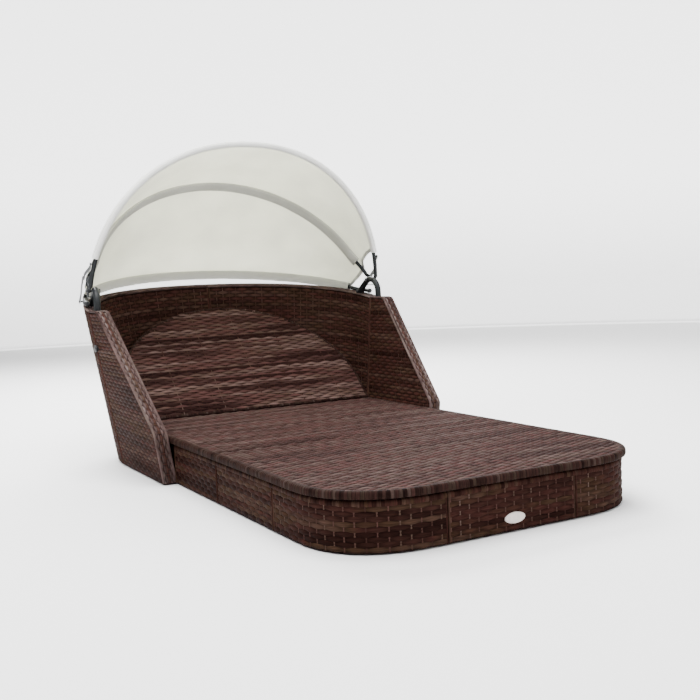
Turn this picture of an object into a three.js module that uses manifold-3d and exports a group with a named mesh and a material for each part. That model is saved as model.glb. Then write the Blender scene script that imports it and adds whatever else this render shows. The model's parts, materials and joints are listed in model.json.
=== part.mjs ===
// Outdoor daybed with a folding canopy.
// Millimetres, +Z up, +X to the right seen from the foot end, +Y towards the head end.
// The plan is laid out from a line just behind the front of the skirt; the root group then shifts it so that
// the origin lies at the middle of the footprint, on the floor.
import * as THREE from 'three';
import { mergeVertices, mergeGeometries } from 'three/addons/utils/BufferGeometryUtils.js';
import Module from 'manifold-3d';

const wasm = await Module();
wasm.setup();

// ---------------------------------------------------------------- driving dimensions
const Y_SHIFT = 1065.64;          // from the plan's zero line to the middle of the footprint

// base
const SKIRT_HALF = 456;          // half width over the woven skirt
const SKIRT_T = 14;              // skirt thickness
const SKIRT_TOP = 121;
const SKIRT_BOTTOM = 4;
const FOOT_Y = -18.5;            // front face of the skirt
const CORNER_R = 252;            // reach of the skirt's two rounded corners along each side
const CORNER_N = 2.5;            // superellipse exponent of those corners
const DECK_OVER = 11;            // deck overhang
const DECK_BOTTOM = 129;
const DECK_TOP = 144.6;
const FRONT_SEAM_X = 187;        // seam between the middle and the corner skirts
const CORNER_SEAM_Y = 351;       // seam between the corner and the side skirts
const MODULE_Y = 740;            // joint between the front and rear halves of the base
const DECK_END = 1538;
const RAIL = 20;                 // steel tube of the base frames, width
const RAIL_Z0 = 103.5, RAIL_Z1 = 128.5;

// walls
const WALL_IN0 = 456.8;          // inner half width at the floor
const WALL_T = 39;
const FLARE = 0.14;              // outward lean of the walls
const WALL_FRONT = 1109;
const WALL_LOW = 160;            // height of the upright front edge
const WALL_TOP = 534;            // height of the side panel's level top
const WALL_TOP_Y = 1515;         // where the sloping edge meets the level top
const WALL_BOTTOM = 3;
const KINK_Y0 = 1553, KINK_K = 0.115;   // joint between side and back panels, y at the floor and its slope
const REAR_Y0 = 1980, REAR_K = 0.12;    // outermost back, y at the floor and its slope
const TOP_SLOPE = 0.17;          // the back panels rise towards the rear
const PLAN_N = 2.2;              // superellipse exponent of the back's plan

// backrest
const BR_ANGLE = 43.5;           // degrees above the deck at rest
const BR_LINE_Y = 1545;          // where its face meets the deck's plane
const BR_HALF = 468;
const BR_S0 = 100, BR_S1 = 437;  // straight sides, then a half ellipse
const BR_SKIN = 16;
const BR_TUBE = 16;
const HINGE_S = 12, HINGE_T = -24.5;
const PROP_D = 220;              // hinge to prop pivot, and prop pivot to foot bar

// arches that carry the canopy
const ARCH_R = 11.5;
const ARCH_FOOT_F = [549, 1583], ARCH_FOOT_R = [530.5, 1735];
const ARCH_BEND = 45, ARCH_BEND_Z = 563;   // front bend: radius and centre height
const ARCH_FALL = 36.5;                      // slope of the run down to the rear foot, degrees
const ARCH_TURN = 35;                      // radius of the bend into the rear foot
const ARCH_DEPTH_Z = 385;

// canopy
const HUB_Y = 1638, HUB_Z = 606;
const BOW_R = 7.5;
const BOW_Y0 = 1634.7, BOW_Z0 = 542.8;
// half ovals: half width a, depth b, exponent n, angle; flare spreads the ends out to the hub
const BOWS = {
  front: { a: 563.6, b: 577.8, n: 2.12, deg: 103.0 },
  middle: { a: 545, b: 520.6, n: 2.009, deg: 60.1, flare: 18 },
  rear: { a: 563.6, b: 529.9, n: 2.061, deg: 11.8 },
};
const STAY_F = [1599.1, 697];    // upper stay on the front bow (y, z)
const STAY_E = [1643, 652];      // elbow
const STAY_R = [1752, 569];      // lower stay on the rear bow
const CLOTH_T = 2.4;

// colours
const WEAVE = { color: 0x4a3530, roughness: 0.62, metalness: 0.0 };
const WEAVE_DECK = { color: 0x6a4f49, roughness: 0.6, metalness: 0.0 };
const STEEL = { color: 0x2c2f31, roughness: 0.45, metalness: 0.3 };
const ZINC = { color: 0xa9abac, roughness: 0.35, metalness: 0.9 };
const BLACK = { color: 0x151617, roughness: 0.55, metalness: 0.0 };
const CLOTH = { color: 0xd8d7cc, roughness: 0.9, metalness: 0.0 };
const PLATE = { color: 0xc9bcb2, roughness: 0.3, metalness: 0.9 };

const rad = (d) => d * Math.PI / 180;
const V = (x, y, z) => new THREE.Vector3(x, y, z);

// ---------------------------------------------------------------- helpers
function clean(g) {
  let q = g.clone();
  for (const k of Object.keys(q.attributes)) if (k !== 'position') q.deleteAttribute(k);
  if (q.groups) q.clearGroups();
  return mergeVertices(q, 1e-3);
}
function solid(g) {
  const q = clean(g);
  const tri = q.index.array, pos = q.attributes.position.array;
  const keep = [];
  for (let i = 0; i < tri.length; i += 3) {
    const [a, b, c] = [tri[i], tri[i + 1], tri[i + 2]];
    if (a !== b && b !== c && a !== c) keep.push(a, b, c);
  }
  return new wasm.Manifold(new wasm.Mesh({
    numProp: 3, vertProperties: new Float32Array(pos), triVerts: new Uint32Array(keep),
  }));
}
function geom(m) {
  const r = m.getMesh();
  const n = r.numProp, count = r.vertProperties.length / n;
  const pos = new Float32Array(count * 3);
  for (let i = 0; i < count; i++) for (let k = 0; k < 3; k++) pos[3 * i + k] = r.vertProperties[n * i + k];
  const g = new THREE.BufferGeometry();
  g.setAttribute('position', new THREE.BufferAttribute(pos, 3));
  g.setIndex(new THREE.BufferAttribute(new Uint32Array(r.triVerts), 1));
  return g;
}
const join = (...gs) => geom(gs.map(solid).reduce((a, b) => a.add(b)));
const cut = (g, ...tools) => geom(tools.map(solid).reduce((a, b) => a.subtract(b), solid(g)));

function mirrorX(g) {
  const q = clean(g);
  const p = q.attributes.position;
  for (let i = 0; i < p.count; i++) p.setX(i, -p.getX(i));
  const t = q.index.array;
  for (let i = 0; i < t.length; i += 3) { const a = t[i]; t[i] = t[i + 1]; t[i + 1] = a; }
  return q;
}
const box = (x0, x1, y0, y1, z0, z1) =>
  new THREE.BoxGeometry(x1 - x0, y1 - y0, z1 - z0).translate((x0 + x1) / 2, (y0 + y1) / 2, (z0 + z1) / 2);

// round bar between two points
function bar(p, q, r, sides = 12) {
  const d = new THREE.Vector3().subVectors(q, p), len = d.length();
  const g = new THREE.CylinderGeometry(r, r, len, sides);
  g.applyQuaternion(new THREE.Quaternion().setFromUnitVectors(V(0, 1, 0), d.clone().normalize()));
  return g.translate((p.x + q.x) / 2, (p.y + q.y) / 2, (p.z + q.z) / 2);
}
// bar along X at (y, z)
const barX = (x0, x1, y, z, r, sides = 16) => bar(V(x0, y, z), V(x1, y, z), r, sides);

// tube of circular section along a list of points
function tube(points, r, steps, sides = 10) {
  const s = new THREE.Shape();
  for (let i = 0; i < sides; i++) {
    const a = 2 * Math.PI * i / sides;
    if (i) s.lineTo(r * Math.cos(a), r * Math.sin(a)); else s.moveTo(r, 0);
  }
  const curve = new THREE.CatmullRomCurve3(points, false, 'centripetal');
  curve.arcLengthDivisions = 1200;
  return new THREE.ExtrudeGeometry(s, { steps, bevelEnabled: false, extrudePath: curve });
}
// plan outline pushed up from z0 to z1
function prism(shape, z0, z1, curveSegments = 14) {
  return new THREE.ExtrudeGeometry(shape, { depth: z1 - z0, bevelEnabled: false, curveSegments }).translate(0, 0, z0);
}
// outline drawn in (y, z), pushed along X from x0 to x1
function plateX(points, x0, x1) {
  const s = new THREE.Shape(points.map(([y, z]) => new THREE.Vector2(y, z)));
  const g = new THREE.ExtrudeGeometry(s, { depth: x1 - x0, bevelEnabled: false });
  const p = g.attributes.position;
  for (let i = 0; i < p.count; i++) {
    const a = p.getX(i), b = p.getY(i), c = p.getZ(i);
    p.setXYZ(i, c + x0, a, b);
  }
  return g;
}
// capsule outline between two (y, z) points with their own radii
function capsule(p, q, rp, rq, n = 8) {
  const a = Math.atan2(q[1] - p[1], q[0] - p[0]), out = [];
  for (let i = 0; i <= n; i++) {
    const t = a + Math.PI / 2 + Math.PI * i / n;
    out.push([p[0] + rp * Math.cos(t), p[1] + rp * Math.sin(t)]);
  }
  for (let i = 0; i <= n; i++) {
    const t = a - Math.PI / 2 + Math.PI * i / n;
    out.push([q[0] + rq * Math.cos(t), q[1] + rq * Math.sin(t)]);
  }
  return out;
}

// ---------------------------------------------------------------- scene graph
const root = new THREE.Group();
const plan = new THREE.Group();
plan.position.y = -Y_SHIFT;
root.add(plan);
function group(name, parent = plan) { const g = new THREE.Group(); g.name = name; parent.add(g); return g; }
function put(parent, name, g, look) {
  const q = clean(g);
  q.computeBoundingBox();
  const c = q.boundingBox.getCenter(new THREE.Vector3());
  q.translate(-c.x, -c.y, -c.z);
  q.computeVertexNormals();
  const m = new THREE.Mesh(q, new THREE.MeshStandardMaterial(look));
  m.name = name;
  m.position.copy(c);
  parent.add(m);
  return m;
}
function pair(parent, name, g, look) {
  put(parent, name + '_right', g, look);
  put(parent, name + '_left', mirrorX(g), look);
}

// ---------------------------------------------------------------- base
const base = group('base');

// one rounded corner of the foot end, on the +X side, as points from the side to the front; off moves it outwards
function footCorner(off, steps = 18) {
  const pts = [];
  for (let i = 0; i <= steps; i++) {
    const phi = i / steps * Math.PI / 2;                       // direction of the outward normal, from +X to -Y
    const t = i === steps ? phi : Math.atan(Math.pow(Math.tan(phi), 1 / (2 - 2 / CORNER_N)));
    const x = SKIRT_HALF - CORNER_R + CORNER_R * Math.pow(Math.cos(t) < 1e-12 ? 0 : Math.cos(t), 2 / CORNER_N);
    const y = FOOT_Y + CORNER_R - CORNER_R * Math.pow(Math.sin(t), 2 / CORNER_N);
    pts.push([x + off * Math.cos(phi), y - off * Math.sin(phi)]);
  }
  return pts;
}
// plan outline of the foot end: straight sides, two rounded corners, straight front
function footOutline(off, back, steps = 18, Kind = THREE.Shape) {
  const s = new Kind(), half = SKIRT_HALF + off, c = footCorner(off, steps);
  s.moveTo(half, back);
  s.lineTo(-half, back);
  c.forEach(([x, y]) => s.lineTo(-x, y));
  c.slice().reverse().forEach(([x, y]) => s.lineTo(x, y));
  s.lineTo(half, back);
  return s;
}

put(base, 'deck_front', prism(footOutline(DECK_OVER, MODULE_Y - 0.8), DECK_BOTTOM, DECK_TOP, 18), WEAVE_DECK);
put(base, 'deck_rear', box(-(SKIRT_HALF + DECK_OVER), SKIRT_HALF + DECK_OVER, MODULE_Y + 0.8, DECK_END, DECK_BOTTOM, DECK_TOP), WEAVE_DECK);

// skirt, in seven woven pieces
const SEAM = 0.9;
put(base, 'skirt_front', box(-FRONT_SEAM_X + SEAM, FRONT_SEAM_X - SEAM, FOOT_Y, FOOT_Y + SKIRT_T, SKIRT_BOTTOM, SKIRT_TOP), WEAVE);
{
  const s = new THREE.Shape();
  const outer = footCorner(0).reverse(), inner = footCorner(-SKIRT_T);
  s.moveTo(FRONT_SEAM_X + SEAM, FOOT_Y + SKIRT_T);
  s.lineTo(FRONT_SEAM_X + SEAM, FOOT_Y);
  outer.forEach(([x, y]) => s.lineTo(x, y));
  s.lineTo(SKIRT_HALF, CORNER_SEAM_Y - SEAM);
  s.lineTo(SKIRT_HALF - SKIRT_T, CORNER_SEAM_Y - SEAM);
  inner.forEach(([x, y]) => s.lineTo(x, y));
  s.lineTo(FRONT_SEAM_X + SEAM, FOOT_Y + SKIRT_T);
  pair(base, 'skirt_corner', prism(s, SKIRT_BOTTOM, SKIRT_TOP, 18), WEAVE);
}
pair(base, 'skirt_side_front', box(SKIRT_HALF - SKIRT_T, SKIRT_HALF, CORNER_SEAM_Y + SEAM, MODULE_Y - SEAM, SKIRT_BOTTOM, SKIRT_TOP), WEAVE);
pair(base, 'skirt_side_rear', box(SKIRT_HALF - SKIRT_T, SKIRT_HALF, MODULE_Y + SEAM, DECK_END - 2, SKIRT_BOTTOM, SKIRT_TOP), WEAVE);

// blank oval plate on the middle of the front skirt
{
  const s = new THREE.Shape();
  s.absellipse(0, 0, 29.5, 13.5, 0, 2 * Math.PI, false, 0);
  const g = new THREE.ExtrudeGeometry(s, { depth: 1.2, bevelEnabled: true, bevelThickness: 0.5, bevelSize: 1.0, bevelOffset: -1.0, bevelSegments: 1, curveSegments: 20 });
  g.rotateX(Math.PI / 2).translate(0, FOOT_Y - 0.9, 36);
  put(base, 'badge_plate', g, PLATE);
}

// steel frames under the decks
const fo = SKIRT_HALF - SKIRT_T - 1.5, fi = fo - RAIL;
const LEG = 25, LEG_BOTTOM = 8;
const leg = (x, y, z1 = RAIL_Z0 + 4) => box(x - LEG / 2, x + LEG / 2, y - LEG / 2, y + LEG / 2, LEG_BOTTOM, z1);
const LEGS_FRONT = [[-160, 9.5], [160, 9.5], [-427.5, 712], [427.5, 712]];
const LEGS_REAR = [[-427.5, 768], [427.5, 768], [-427.5, 1510], [427.5, 1510]];
const LEGS_BACK = [[-100, 1918], [100, 1918]];
{
  const y0 = FOOT_Y + SKIRT_T + 1.5, gap = -SKIRT_T - 1.5;
  const ring = footOutline(gap, MODULE_Y - 2, 12);
  ring.holes.push(footOutline(gap - RAIL, MODULE_Y - 2 - RAIL, 12, THREE.Path));
  let g = prism(ring, RAIL_Z0, RAIL_Z1, 12);
  g = join(g, box(-10, 10, y0 + 10, MODULE_Y - 12, RAIL_Z0 + 1, RAIL_Z1 - 1), box(-fo + 10, fo - 10, 360, 380, RAIL_Z0 + 2, RAIL_Z1 - 2),
    ...LEGS_FRONT.map(([x, y]) => leg(x, y)));
  put(base, 'front_frame', g, STEEL);
}
{
  const y0 = MODULE_Y + 2, y1 = DECK_END - 3;
  const ring = new THREE.Shape();
  ring.moveTo(-fo, y0); ring.lineTo(fo, y0); ring.lineTo(fo, y1); ring.lineTo(-fo, y1); ring.lineTo(-fo, y0);
  const hole = new THREE.Path();
  hole.moveTo(-fi, y0 + RAIL); hole.lineTo(fi, y0 + RAIL); hole.lineTo(fi, y1 - RAIL); hole.lineTo(-fi, y1 - RAIL); hole.lineTo(-fi, y0 + RAIL);
  ring.holes.push(hole);
  const z0 = 88, z1 = 113;                       // the two bars that run on under the backrest
  let g = prism(ring, RAIL_Z0, RAIL_Z1);
  g = join(g, box(-10, 10, y0 + 10, y1 - 10, RAIL_Z0 + 1, RAIL_Z1 - 1), box(-fo + 10, fo - 10, 1120, 1140, RAIL_Z0 + 2, RAIL_Z1 - 2),
    box(90, 110, y1 - RAIL + 1, 1930, z0, z1), box(-110, -90, y1 - RAIL + 1, 1930, z0, z1),
    box(-100, 100, 1908, 1928, z0 + 2, z1 - 2),
    ...LEGS_REAR.map(([x, y]) => leg(x, y)), ...LEGS_BACK.map(([x, y]) => leg(x, y, z0 + 6)));
  put(base, 'rear_frame', g, STEEL);
}
pair(base, 'module_link', join(box(180, 220, MODULE_Y - 20, MODULE_Y + 20, 99.5, 103.1),
  barX(-5, 5, 0, 0, 5, 6).rotateY(Math.PI / 2).translate(200, MODULE_Y - 12, 96.5),
  barX(-5, 5, 0, 0, 5, 6).rotateY(Math.PI / 2).translate(200, MODULE_Y + 12, 96.5)), ZINC);
{
  const foot = (x, y) => new THREE.LatheGeometry([new THREE.Vector2(0, 0), new THREE.Vector2(9.5, 0), new THREE.Vector2(12, 2),
    new THREE.Vector2(12, 7.6), new THREE.Vector2(0, 7.6)], 16).rotateX(Math.PI / 2).translate(x, y, 0);
  const names = ['foot_front_left', 'foot_front_right', 'foot_middle_left', 'foot_middle_right',
    'foot_seat_left', 'foot_seat_right', 'foot_hinge_left', 'foot_hinge_right', 'foot_rear_left', 'foot_rear_right'];
  [...LEGS_FRONT, ...LEGS_REAR, ...LEGS_BACK].forEach(([x, y], i) => put(base, names[i], foot(x, y), BLACK));
}

// ---------------------------------------------------------------- walls
const walls = group('walls');
const wallIn = (z) => WALL_IN0 + FLARE * z, wallOut = (z) => WALL_IN0 + WALL_T + FLARE * z;
const kinkY = (z) => KINK_Y0 + KINK_K * z;

// one arch: two legs in sockets that lean with the wall; above it an upright hoop that bends over the hub and
// slopes down to the rear leg
const archX = (y, z) => ARCH_FOOT_F[0] + (ARCH_FOOT_R[0] - ARCH_FOOT_F[0]) * (y - ARCH_FOOT_F[1]) / (ARCH_FOOT_R[1] - ARCH_FOOT_F[1])
  + FLARE * (Math.min(z, 540) - WALL_TOP) - 0.04 * Math.max(z - 540, 0);
const archP = (y, z) => V(archX(y, z), y, z);
const fall = rad(ARCH_FALL);
const bendEnd = [ARCH_FOOT_F[1] + ARCH_BEND * (1 + Math.sin(fall)), ARCH_BEND_Z + ARCH_BEND * Math.cos(fall)];
const turnC = [ARCH_FOOT_R[1] - ARCH_TURN, 0];
const turnStart = [turnC[0] + ARCH_TURN * Math.sin(fall), 0];
turnStart[1] = bendEnd[1] - (turnStart[0] - bendEnd[0]) * Math.tan(fall);
turnC[1] = turnStart[1] - ARCH_TURN * Math.cos(fall);
function archPoints(deeper = 0) {
  const p = [], z0 = ARCH_DEPTH_Z - deeper;
  for (let i = 0; i <= 4; i++) p.push(archP(ARCH_FOOT_F[1], z0 + (ARCH_BEND_Z - z0) * i / 4));
  for (let i = 1; i <= 10; i++) {
    const t = Math.PI - (Math.PI / 2 + fall) * i / 10;
    p.push(archP(ARCH_FOOT_F[1] + ARCH_BEND + ARCH_BEND * Math.cos(t), ARCH_BEND_Z + ARCH_BEND * Math.sin(t)));
  }
  for (let i = 1; i <= 3; i++) p.push(archP(bendEnd[0] + (turnStart[0] - bendEnd[0]) * i / 3, bendEnd[1] + (turnStart[1] - bendEnd[1]) * i / 3));
  for (let i = 1; i <= 5; i++) {
    const t = (Math.PI / 2 - fall) * (1 - i / 5);
    p.push(archP(turnC[0] + ARCH_TURN * Math.cos(t), turnC[1] + ARCH_TURN * Math.sin(t)));
  }
  for (let i = 1; i <= 4; i++) p.push(archP(ARCH_FOOT_R[1], turnC[1] + (z0 - turnC[1]) * i / 4));
  return p;
}
const KNOB_Z = 412;
const knobAxis = V(1, 0, -FLARE).normalize();
const knobLeg = archP(ARCH_FOOT_F[1], KNOB_Z);
const sockets = tube(archPoints(4), ARCH_R + 0.6, 44, 12);
const knobBore = bar(knobLeg.clone().addScaledVector(knobAxis, 3), knobLeg.clone().addScaledVector(knobAxis, 40), 3.5, 14);

{
  const e = 0.4;
  const outline = [[WALL_FRONT, WALL_BOTTOM], [kinkY(WALL_BOTTOM) - e, WALL_BOTTOM], [kinkY(WALL_TOP) - e, WALL_TOP], [WALL_TOP_Y, WALL_TOP], [WALL_FRONT, WALL_LOW]];
  const g = plateX(outline, WALL_IN0, WALL_IN0 + WALL_T);
  const p = g.attributes.position;
  for (let i = 0; i < p.count; i++) p.setX(i, p.getX(i) + FLARE * p.getZ(i));
  pair(walls, 'side_panel', cut(g, sockets, knobBore), WEAVE);
}
{
  // a segmented box bent onto the curved, leaning wall; u runs along the wall, w through it, v up it
  const n = 22;
  const g = new THREE.BoxGeometry(1, 1, 1, n, 1, 1);
  const p = g.attributes.position;
  for (let i = 0; i < p.count; i++) {
    const u = p.getX(i) + 0.5, w = p.getY(i) + 0.5, v = p.getZ(i) + 0.5;
    const f = u * Math.PI / 2;
    const C = Math.pow(Math.max(Math.cos(f), 0), 2 / PLAN_N), S = Math.pow(Math.sin(f), 2 / PLAN_N);
    const ry = REAR_Y0 - (1 - w) * WALL_T;
    const a = KINK_Y0 * (1 - S) + ry * S, b = KINK_K * (1 - S) + REAR_K * S;
    const top = (WALL_TOP + TOP_SLOPE * (a - kinkY(WALL_TOP))) / (1 - TOP_SLOPE * b);
    const z = WALL_BOTTOM + v * (top - WALL_BOTTOM);
    const half = w > 0.5 ? wallOut(z) : wallIn(z);
    let x = half * C, y = a + b * z;
    if (u < 1e-6) y += 0.4;
    if (u > 1 - 1e-6) x = 0.8;
    p.setXYZ(i, x, y, z);
  }
  // the map turns (u, w, v) into a left-handed set on the +X side, so it is mirrored from there
  const right = mirrorX(mirrorX(g));
  const t = right.index.array;
  for (let i = 0; i < t.length; i += 3) { const a = t[i]; t[i] = t[i + 1]; t[i + 1] = a; }
  pair(walls, 'back_panel', cut(right, sockets), WEAVE);
}
// plate that joins the two back panels, low on their inner faces
{
  const z0 = 150, z1 = 330, pts = [];
  const yin = (z) => REAR_Y0 - WALL_T + REAR_K * z;
  put(walls, 'back_joining_plate', plateX([[yin(z0) - 5, z0], [yin(z0) - 2, z0], [yin(z1) - 2, z1], [yin(z1) - 5, z1]], -30, 30), STEEL);
}

// arches, with a cross bore for the hub bolt and one for the rear bow's bolt
const rb = archP(1704, 563);
const crown = archP(HUB_Y, HUB_Z);
const archG = cut(tube(archPoints(), ARCH_R, 44, 12), barX(crown.x - 30, crown.x + 30, HUB_Y, HUB_Z, 4.4), barX(rb.x - 30, rb.x + 30, rb.y, rb.z, 3.4));
pair(walls, 'canopy_arch', archG, STEEL);

// clamp knobs: a screw into the wall that bears on the arch's front leg, and a lobed head outside
{
  const at = (d) => knobLeg.clone().addScaledVector(knobAxis, d);
  const face = (wallOut(KNOB_Z) - knobLeg.x) * knobAxis.x;   // leg centre to the outer face, along the screw
  const s = new THREE.Shape();
  const lobes = 5, N = 40;
  for (let i = 0; i < N; i++) {
    const a = 2 * Math.PI * i / N, r = 10.6 + 1.4 * Math.cos(lobes * a);
    if (i) s.lineTo(r * Math.cos(a), r * Math.sin(a)); else s.moveTo(r, 0);
  }
  let head = new THREE.ExtrudeGeometry(s, { depth: 9, bevelEnabled: true, bevelThickness: 1, bevelSize: 1, bevelOffset: -1, bevelSegments: 1 });
  head.applyQuaternion(new THREE.Quaternion().setFromUnitVectors(V(0, 0, 1), knobAxis));
  const c = at(face + 4);
  head.translate(c.x, c.y, c.z);
  pair(walls, 'clamp_knob', join(head, bar(at(ARCH_R + 0.7), at(face + 6), 3, 14), bar(at(face + 0.8), at(face + 4.5), 7, 18)), BLACK);
}

// ---------------------------------------------------------------- backrest, drawn flat and tilted by its group
const bx = Math.cos(rad(BR_ANGLE)), bz = Math.sin(rad(BR_ANGLE));
const hingeY = BR_LINE_Y + HINGE_S * bx - HINGE_T * bz, hingeZ = DECK_TOP + HINGE_S * bz + HINGE_T * bx;
const tilt = group('backrest');
tilt.position.set(0, hingeY, hingeZ);
tilt.rotation.x = rad(BR_ANGLE);
// local frame: x across, y = distance up the panel from the hinge axis, z = height above the hinge axis
function brOutline(inset, s0) {
  const s = new THREE.Shape(), h = BR_HALF - inset, e = BR_S1 - inset;
  s.moveTo(-h, s0);
  s.lineTo(h, s0);
  s.lineTo(h, BR_S0 - HINGE_S);
  s.absellipse(0, BR_S0 - HINGE_S, h, e, 0, Math.PI, false, 0);
  s.lineTo(-h, s0);
  return s;
}
put(tilt, 'backrest_panel', prism(brOutline(0, 4 - HINGE_S), -HINGE_T - BR_SKIN, -HINGE_T, 32), WEAVE);
{
  const z0 = -HINGE_T - BR_SKIN - 0.5 - BR_TUBE, z1 = -HINGE_T - BR_SKIN - 0.5;
  const ring = brOutline(16, 14);
  const hole = new THREE.Path();
  const h = BR_HALF - 16 - BR_TUBE, e = BR_S1 - 16 - BR_TUBE;
  hole.moveTo(-h, 14 + BR_TUBE);
  hole.lineTo(h, 14 + BR_TUBE);
  hole.lineTo(h, BR_S0 - HINGE_S);
  hole.absellipse(0, BR_S0 - HINGE_S, h, e, 0, Math.PI, false, 0);
  hole.lineTo(-h, 14 + BR_TUBE);
  ring.holes.push(hole);
  const lug = (x0, x1) => plateX(capsule([0, 0], [24, 0], 7.5, 7.5), x0, x1);
  let g = join(prism(ring, z0, z1, 20),
    box(-h - 4, h + 4, 256, 272, z0 + 0.5, z1 - 0.5),
    box(116, 126, 20, 262, z0 + 1, z1 - 1), box(-126, -116, 20, 262, z0 + 1, z1 - 1),
    lug(284, 292), lug(-292, -284));
  g = cut(g, barX(-300, 300, 0, 0, 5.4), barX(-140, 140, PROP_D, 0, 5.4));
  put(tilt, 'backrest_frame', g, STEEL);
}

// prop under the backrest: pivots on the ribs, its foot bar slides along the notched rails
const prop = group('prop', tilt);
prop.position.set(0, PROP_D, 0);
prop.rotation.x = -2 * rad(BR_ANGLE);
put(prop, 'backrest_prop', join(barX(-128, 128, 0, 0, 5, 12), barX(-128, 128, PROP_D, 0, 6, 12),
  bar(V(104, 0, 0), V(104, PROP_D, 0), 5, 10), bar(V(-104, 0, 0), V(-104, PROP_D, 0), 5, 10)), ZINC);

// hinge rod, its two brackets on the rear frame, and the notched rails
put(base, 'hinge_rod', barX(-322, 322, hingeY, hingeZ, 5, 16), ZINC);
{
  const y0 = DECK_END - 2.6;
  const outline = [[y0, 104], [hingeY - 3, 104], [hingeY + 6.5, 112], ...[0, 30, 60, 90, 120, 150, 180].map((d) => [hingeY + 7 * Math.cos(rad(d)), hingeZ + 7 * Math.sin(rad(d))]), [hingeY - 7, 124], [y0, 120]];
  pair(base, 'hinge_bracket', cut(plateX(outline, 306, 311), barX(300, 320, hingeY, hingeZ, 5.3)), STEEL);
}
{
  const top = hingeZ - 6 - 0.6, low = 113.4, y0 = 1700, y1 = 1925, pitch = 30;
  const outline = [[y0, low], [y1, low], [y1, top]];
  for (let y = y1 - 8; y - pitch > y0 + 4; y -= pitch) outline.push([y, top], [y - 6, top - 7], [y - 14, top - 7], [y - 20, top]);
  outline.push([y0, top]);
  pair(base, 'notch_rail', plateX(outline, 112, 122).translate(-12, 0, 0), ZINC);
}

// ---------------------------------------------------------------- canopy
const canopy = group('canopy');
function bowAt(b, f) {
  const t = rad(b.deg), c = Math.cos(f), s = b.b * Math.pow(Math.sin(f), 2 / b.n);
  const w = Math.min(Math.max((s - 98) / 96, 0), 1);
  const x = Math.sign(c) * (b.a * Math.pow(Math.abs(c), 2 / b.n) + (b.flare || 0) * (1 - w * w * (3 - 2 * w)));
  return V(x, BOW_Y0 + s * Math.cos(t), BOW_Z0 + s * Math.sin(t));
}
const phiOf = (b, s) => Math.asin(Math.pow(s / b.b, b.n / 2));
function bowPoints(b, s0, n = 36) {
  const f0 = phiOf(b, s0), p = [];
  for (let i = 0; i <= n; i++) p.push(bowAt(b, f0 + (Math.PI - 2 * f0) * i / n));
  return p;
}
// the hub stack on the +X side: arch, middle bow's eye, front bow's eye, plate, bolt head
const X_MID = [556.6, 559.6], X_FRONT = [560.2, 563.2], X_PLATE = [563.8, 566.8], X_STAY = 558;
const hub = [HUB_Y, HUB_Z];
const bothSides = (g) => [g, mirrorX(g)];
const endPoint = (b, s) => { const v = bowAt(b, phiOf(b, s)); return [v.y, v.z]; };
const bowSides = 8, bowSteps = 44;
{
  const eye = plateX(capsule(hub, endPoint(BOWS.front, 92), 7, 6.4), ...X_FRONT);
  // rivet for the upper stay, through the tube
  const x0 = bowAt(BOWS.front, phiOf(BOWS.front, (STAY_F[1] - BOW_Z0) / Math.sin(rad(BOWS.front.deg)))).x;
  const rivet = join(barX(x0 - 2, X_STAY + 4.9, ...STAY_F, 3, 14), barX(X_STAY + 2.5, X_STAY + 4.9, ...STAY_F, 5, 14));
  let g = join(tube(bowPoints(BOWS.front, 80), BOW_R, bowSteps, bowSides), ...bothSides(eye), ...bothSides(rivet));
  g = cut(g, ...bothSides(barX(X_FRONT[0] - 4, X_FRONT[1] + 4, ...hub, 4.4)));
  put(canopy, 'front_bow', g, STEEL);
}
{
  const eye = plateX(capsule(hub, endPoint(BOWS.middle, 106), 7, 6.4), ...X_MID);
  let g = join(tube(bowPoints(BOWS.middle, 98), BOW_R, bowSteps, bowSides), ...bothSides(eye));
  g = cut(g, ...bothSides(barX(X_MID[0] - 3, X_MID[1] + 3, ...hub, 4.4)));
  put(canopy, 'middle_bow', g, STEEL);
}
{
  // the rear bow's ends run level past the arch, to a capped stub
  const mid = bowPoints(BOWS.rear, 187, 30);
  const ends = [[561.2, 1676, 561.1], [560, 1695, 563], [551, 1752, 569]];
  const right = ends.map(([x, y, z]) => V(x, y, z));
  const left = ends.map(([x, y, z]) => V(-x, y, z)).reverse();
  const line = tube([...right, ...mid, ...left], BOW_R, bowSteps + 8, bowSides);
  const boss = barX(551, 566.6, ...STAY_R, 6, 14);
  const g = cut(join(line, ...bothSides(boss)), ...bothSides(barX(545, 575, rb.y, rb.z, 3.4)), ...bothSides(barX(565.5, 575, rb.y, rb.z, 5.5)));
  put(canopy, 'rear_bow', g, STEEL);
  pair(canopy, 'bow_cap', cut(bar(V(561.6, 1669.4, 560.4), V(560.8, 1682, 561.7), BOW_R + 2, 16), bar(V(561.4, 1673.4, 560.8), V(560.5, 1689, 562.4), BOW_R + 0.45, 16)), BLACK);
  pair(canopy, 'rear_bow_spacer', cut(barX(rb.x + ARCH_R + 1.3, 549.8, rb.y, rb.z, 7, 16), barX(rb.x, 560, rb.y, rb.z, 3.4)), BLACK);
  pair(canopy, 'rear_bow_bolt', join(barX(rb.x - ARCH_R - 5, 567.2, rb.y, rb.z, 3, 12), barX(565.9, 567.7, rb.y, rb.z, 5, 6), barX(rb.x - ARCH_R - 7, rb.x - ARCH_R - 2.2, rb.y, rb.z, 5.5, 6)), ZINC);
}
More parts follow.
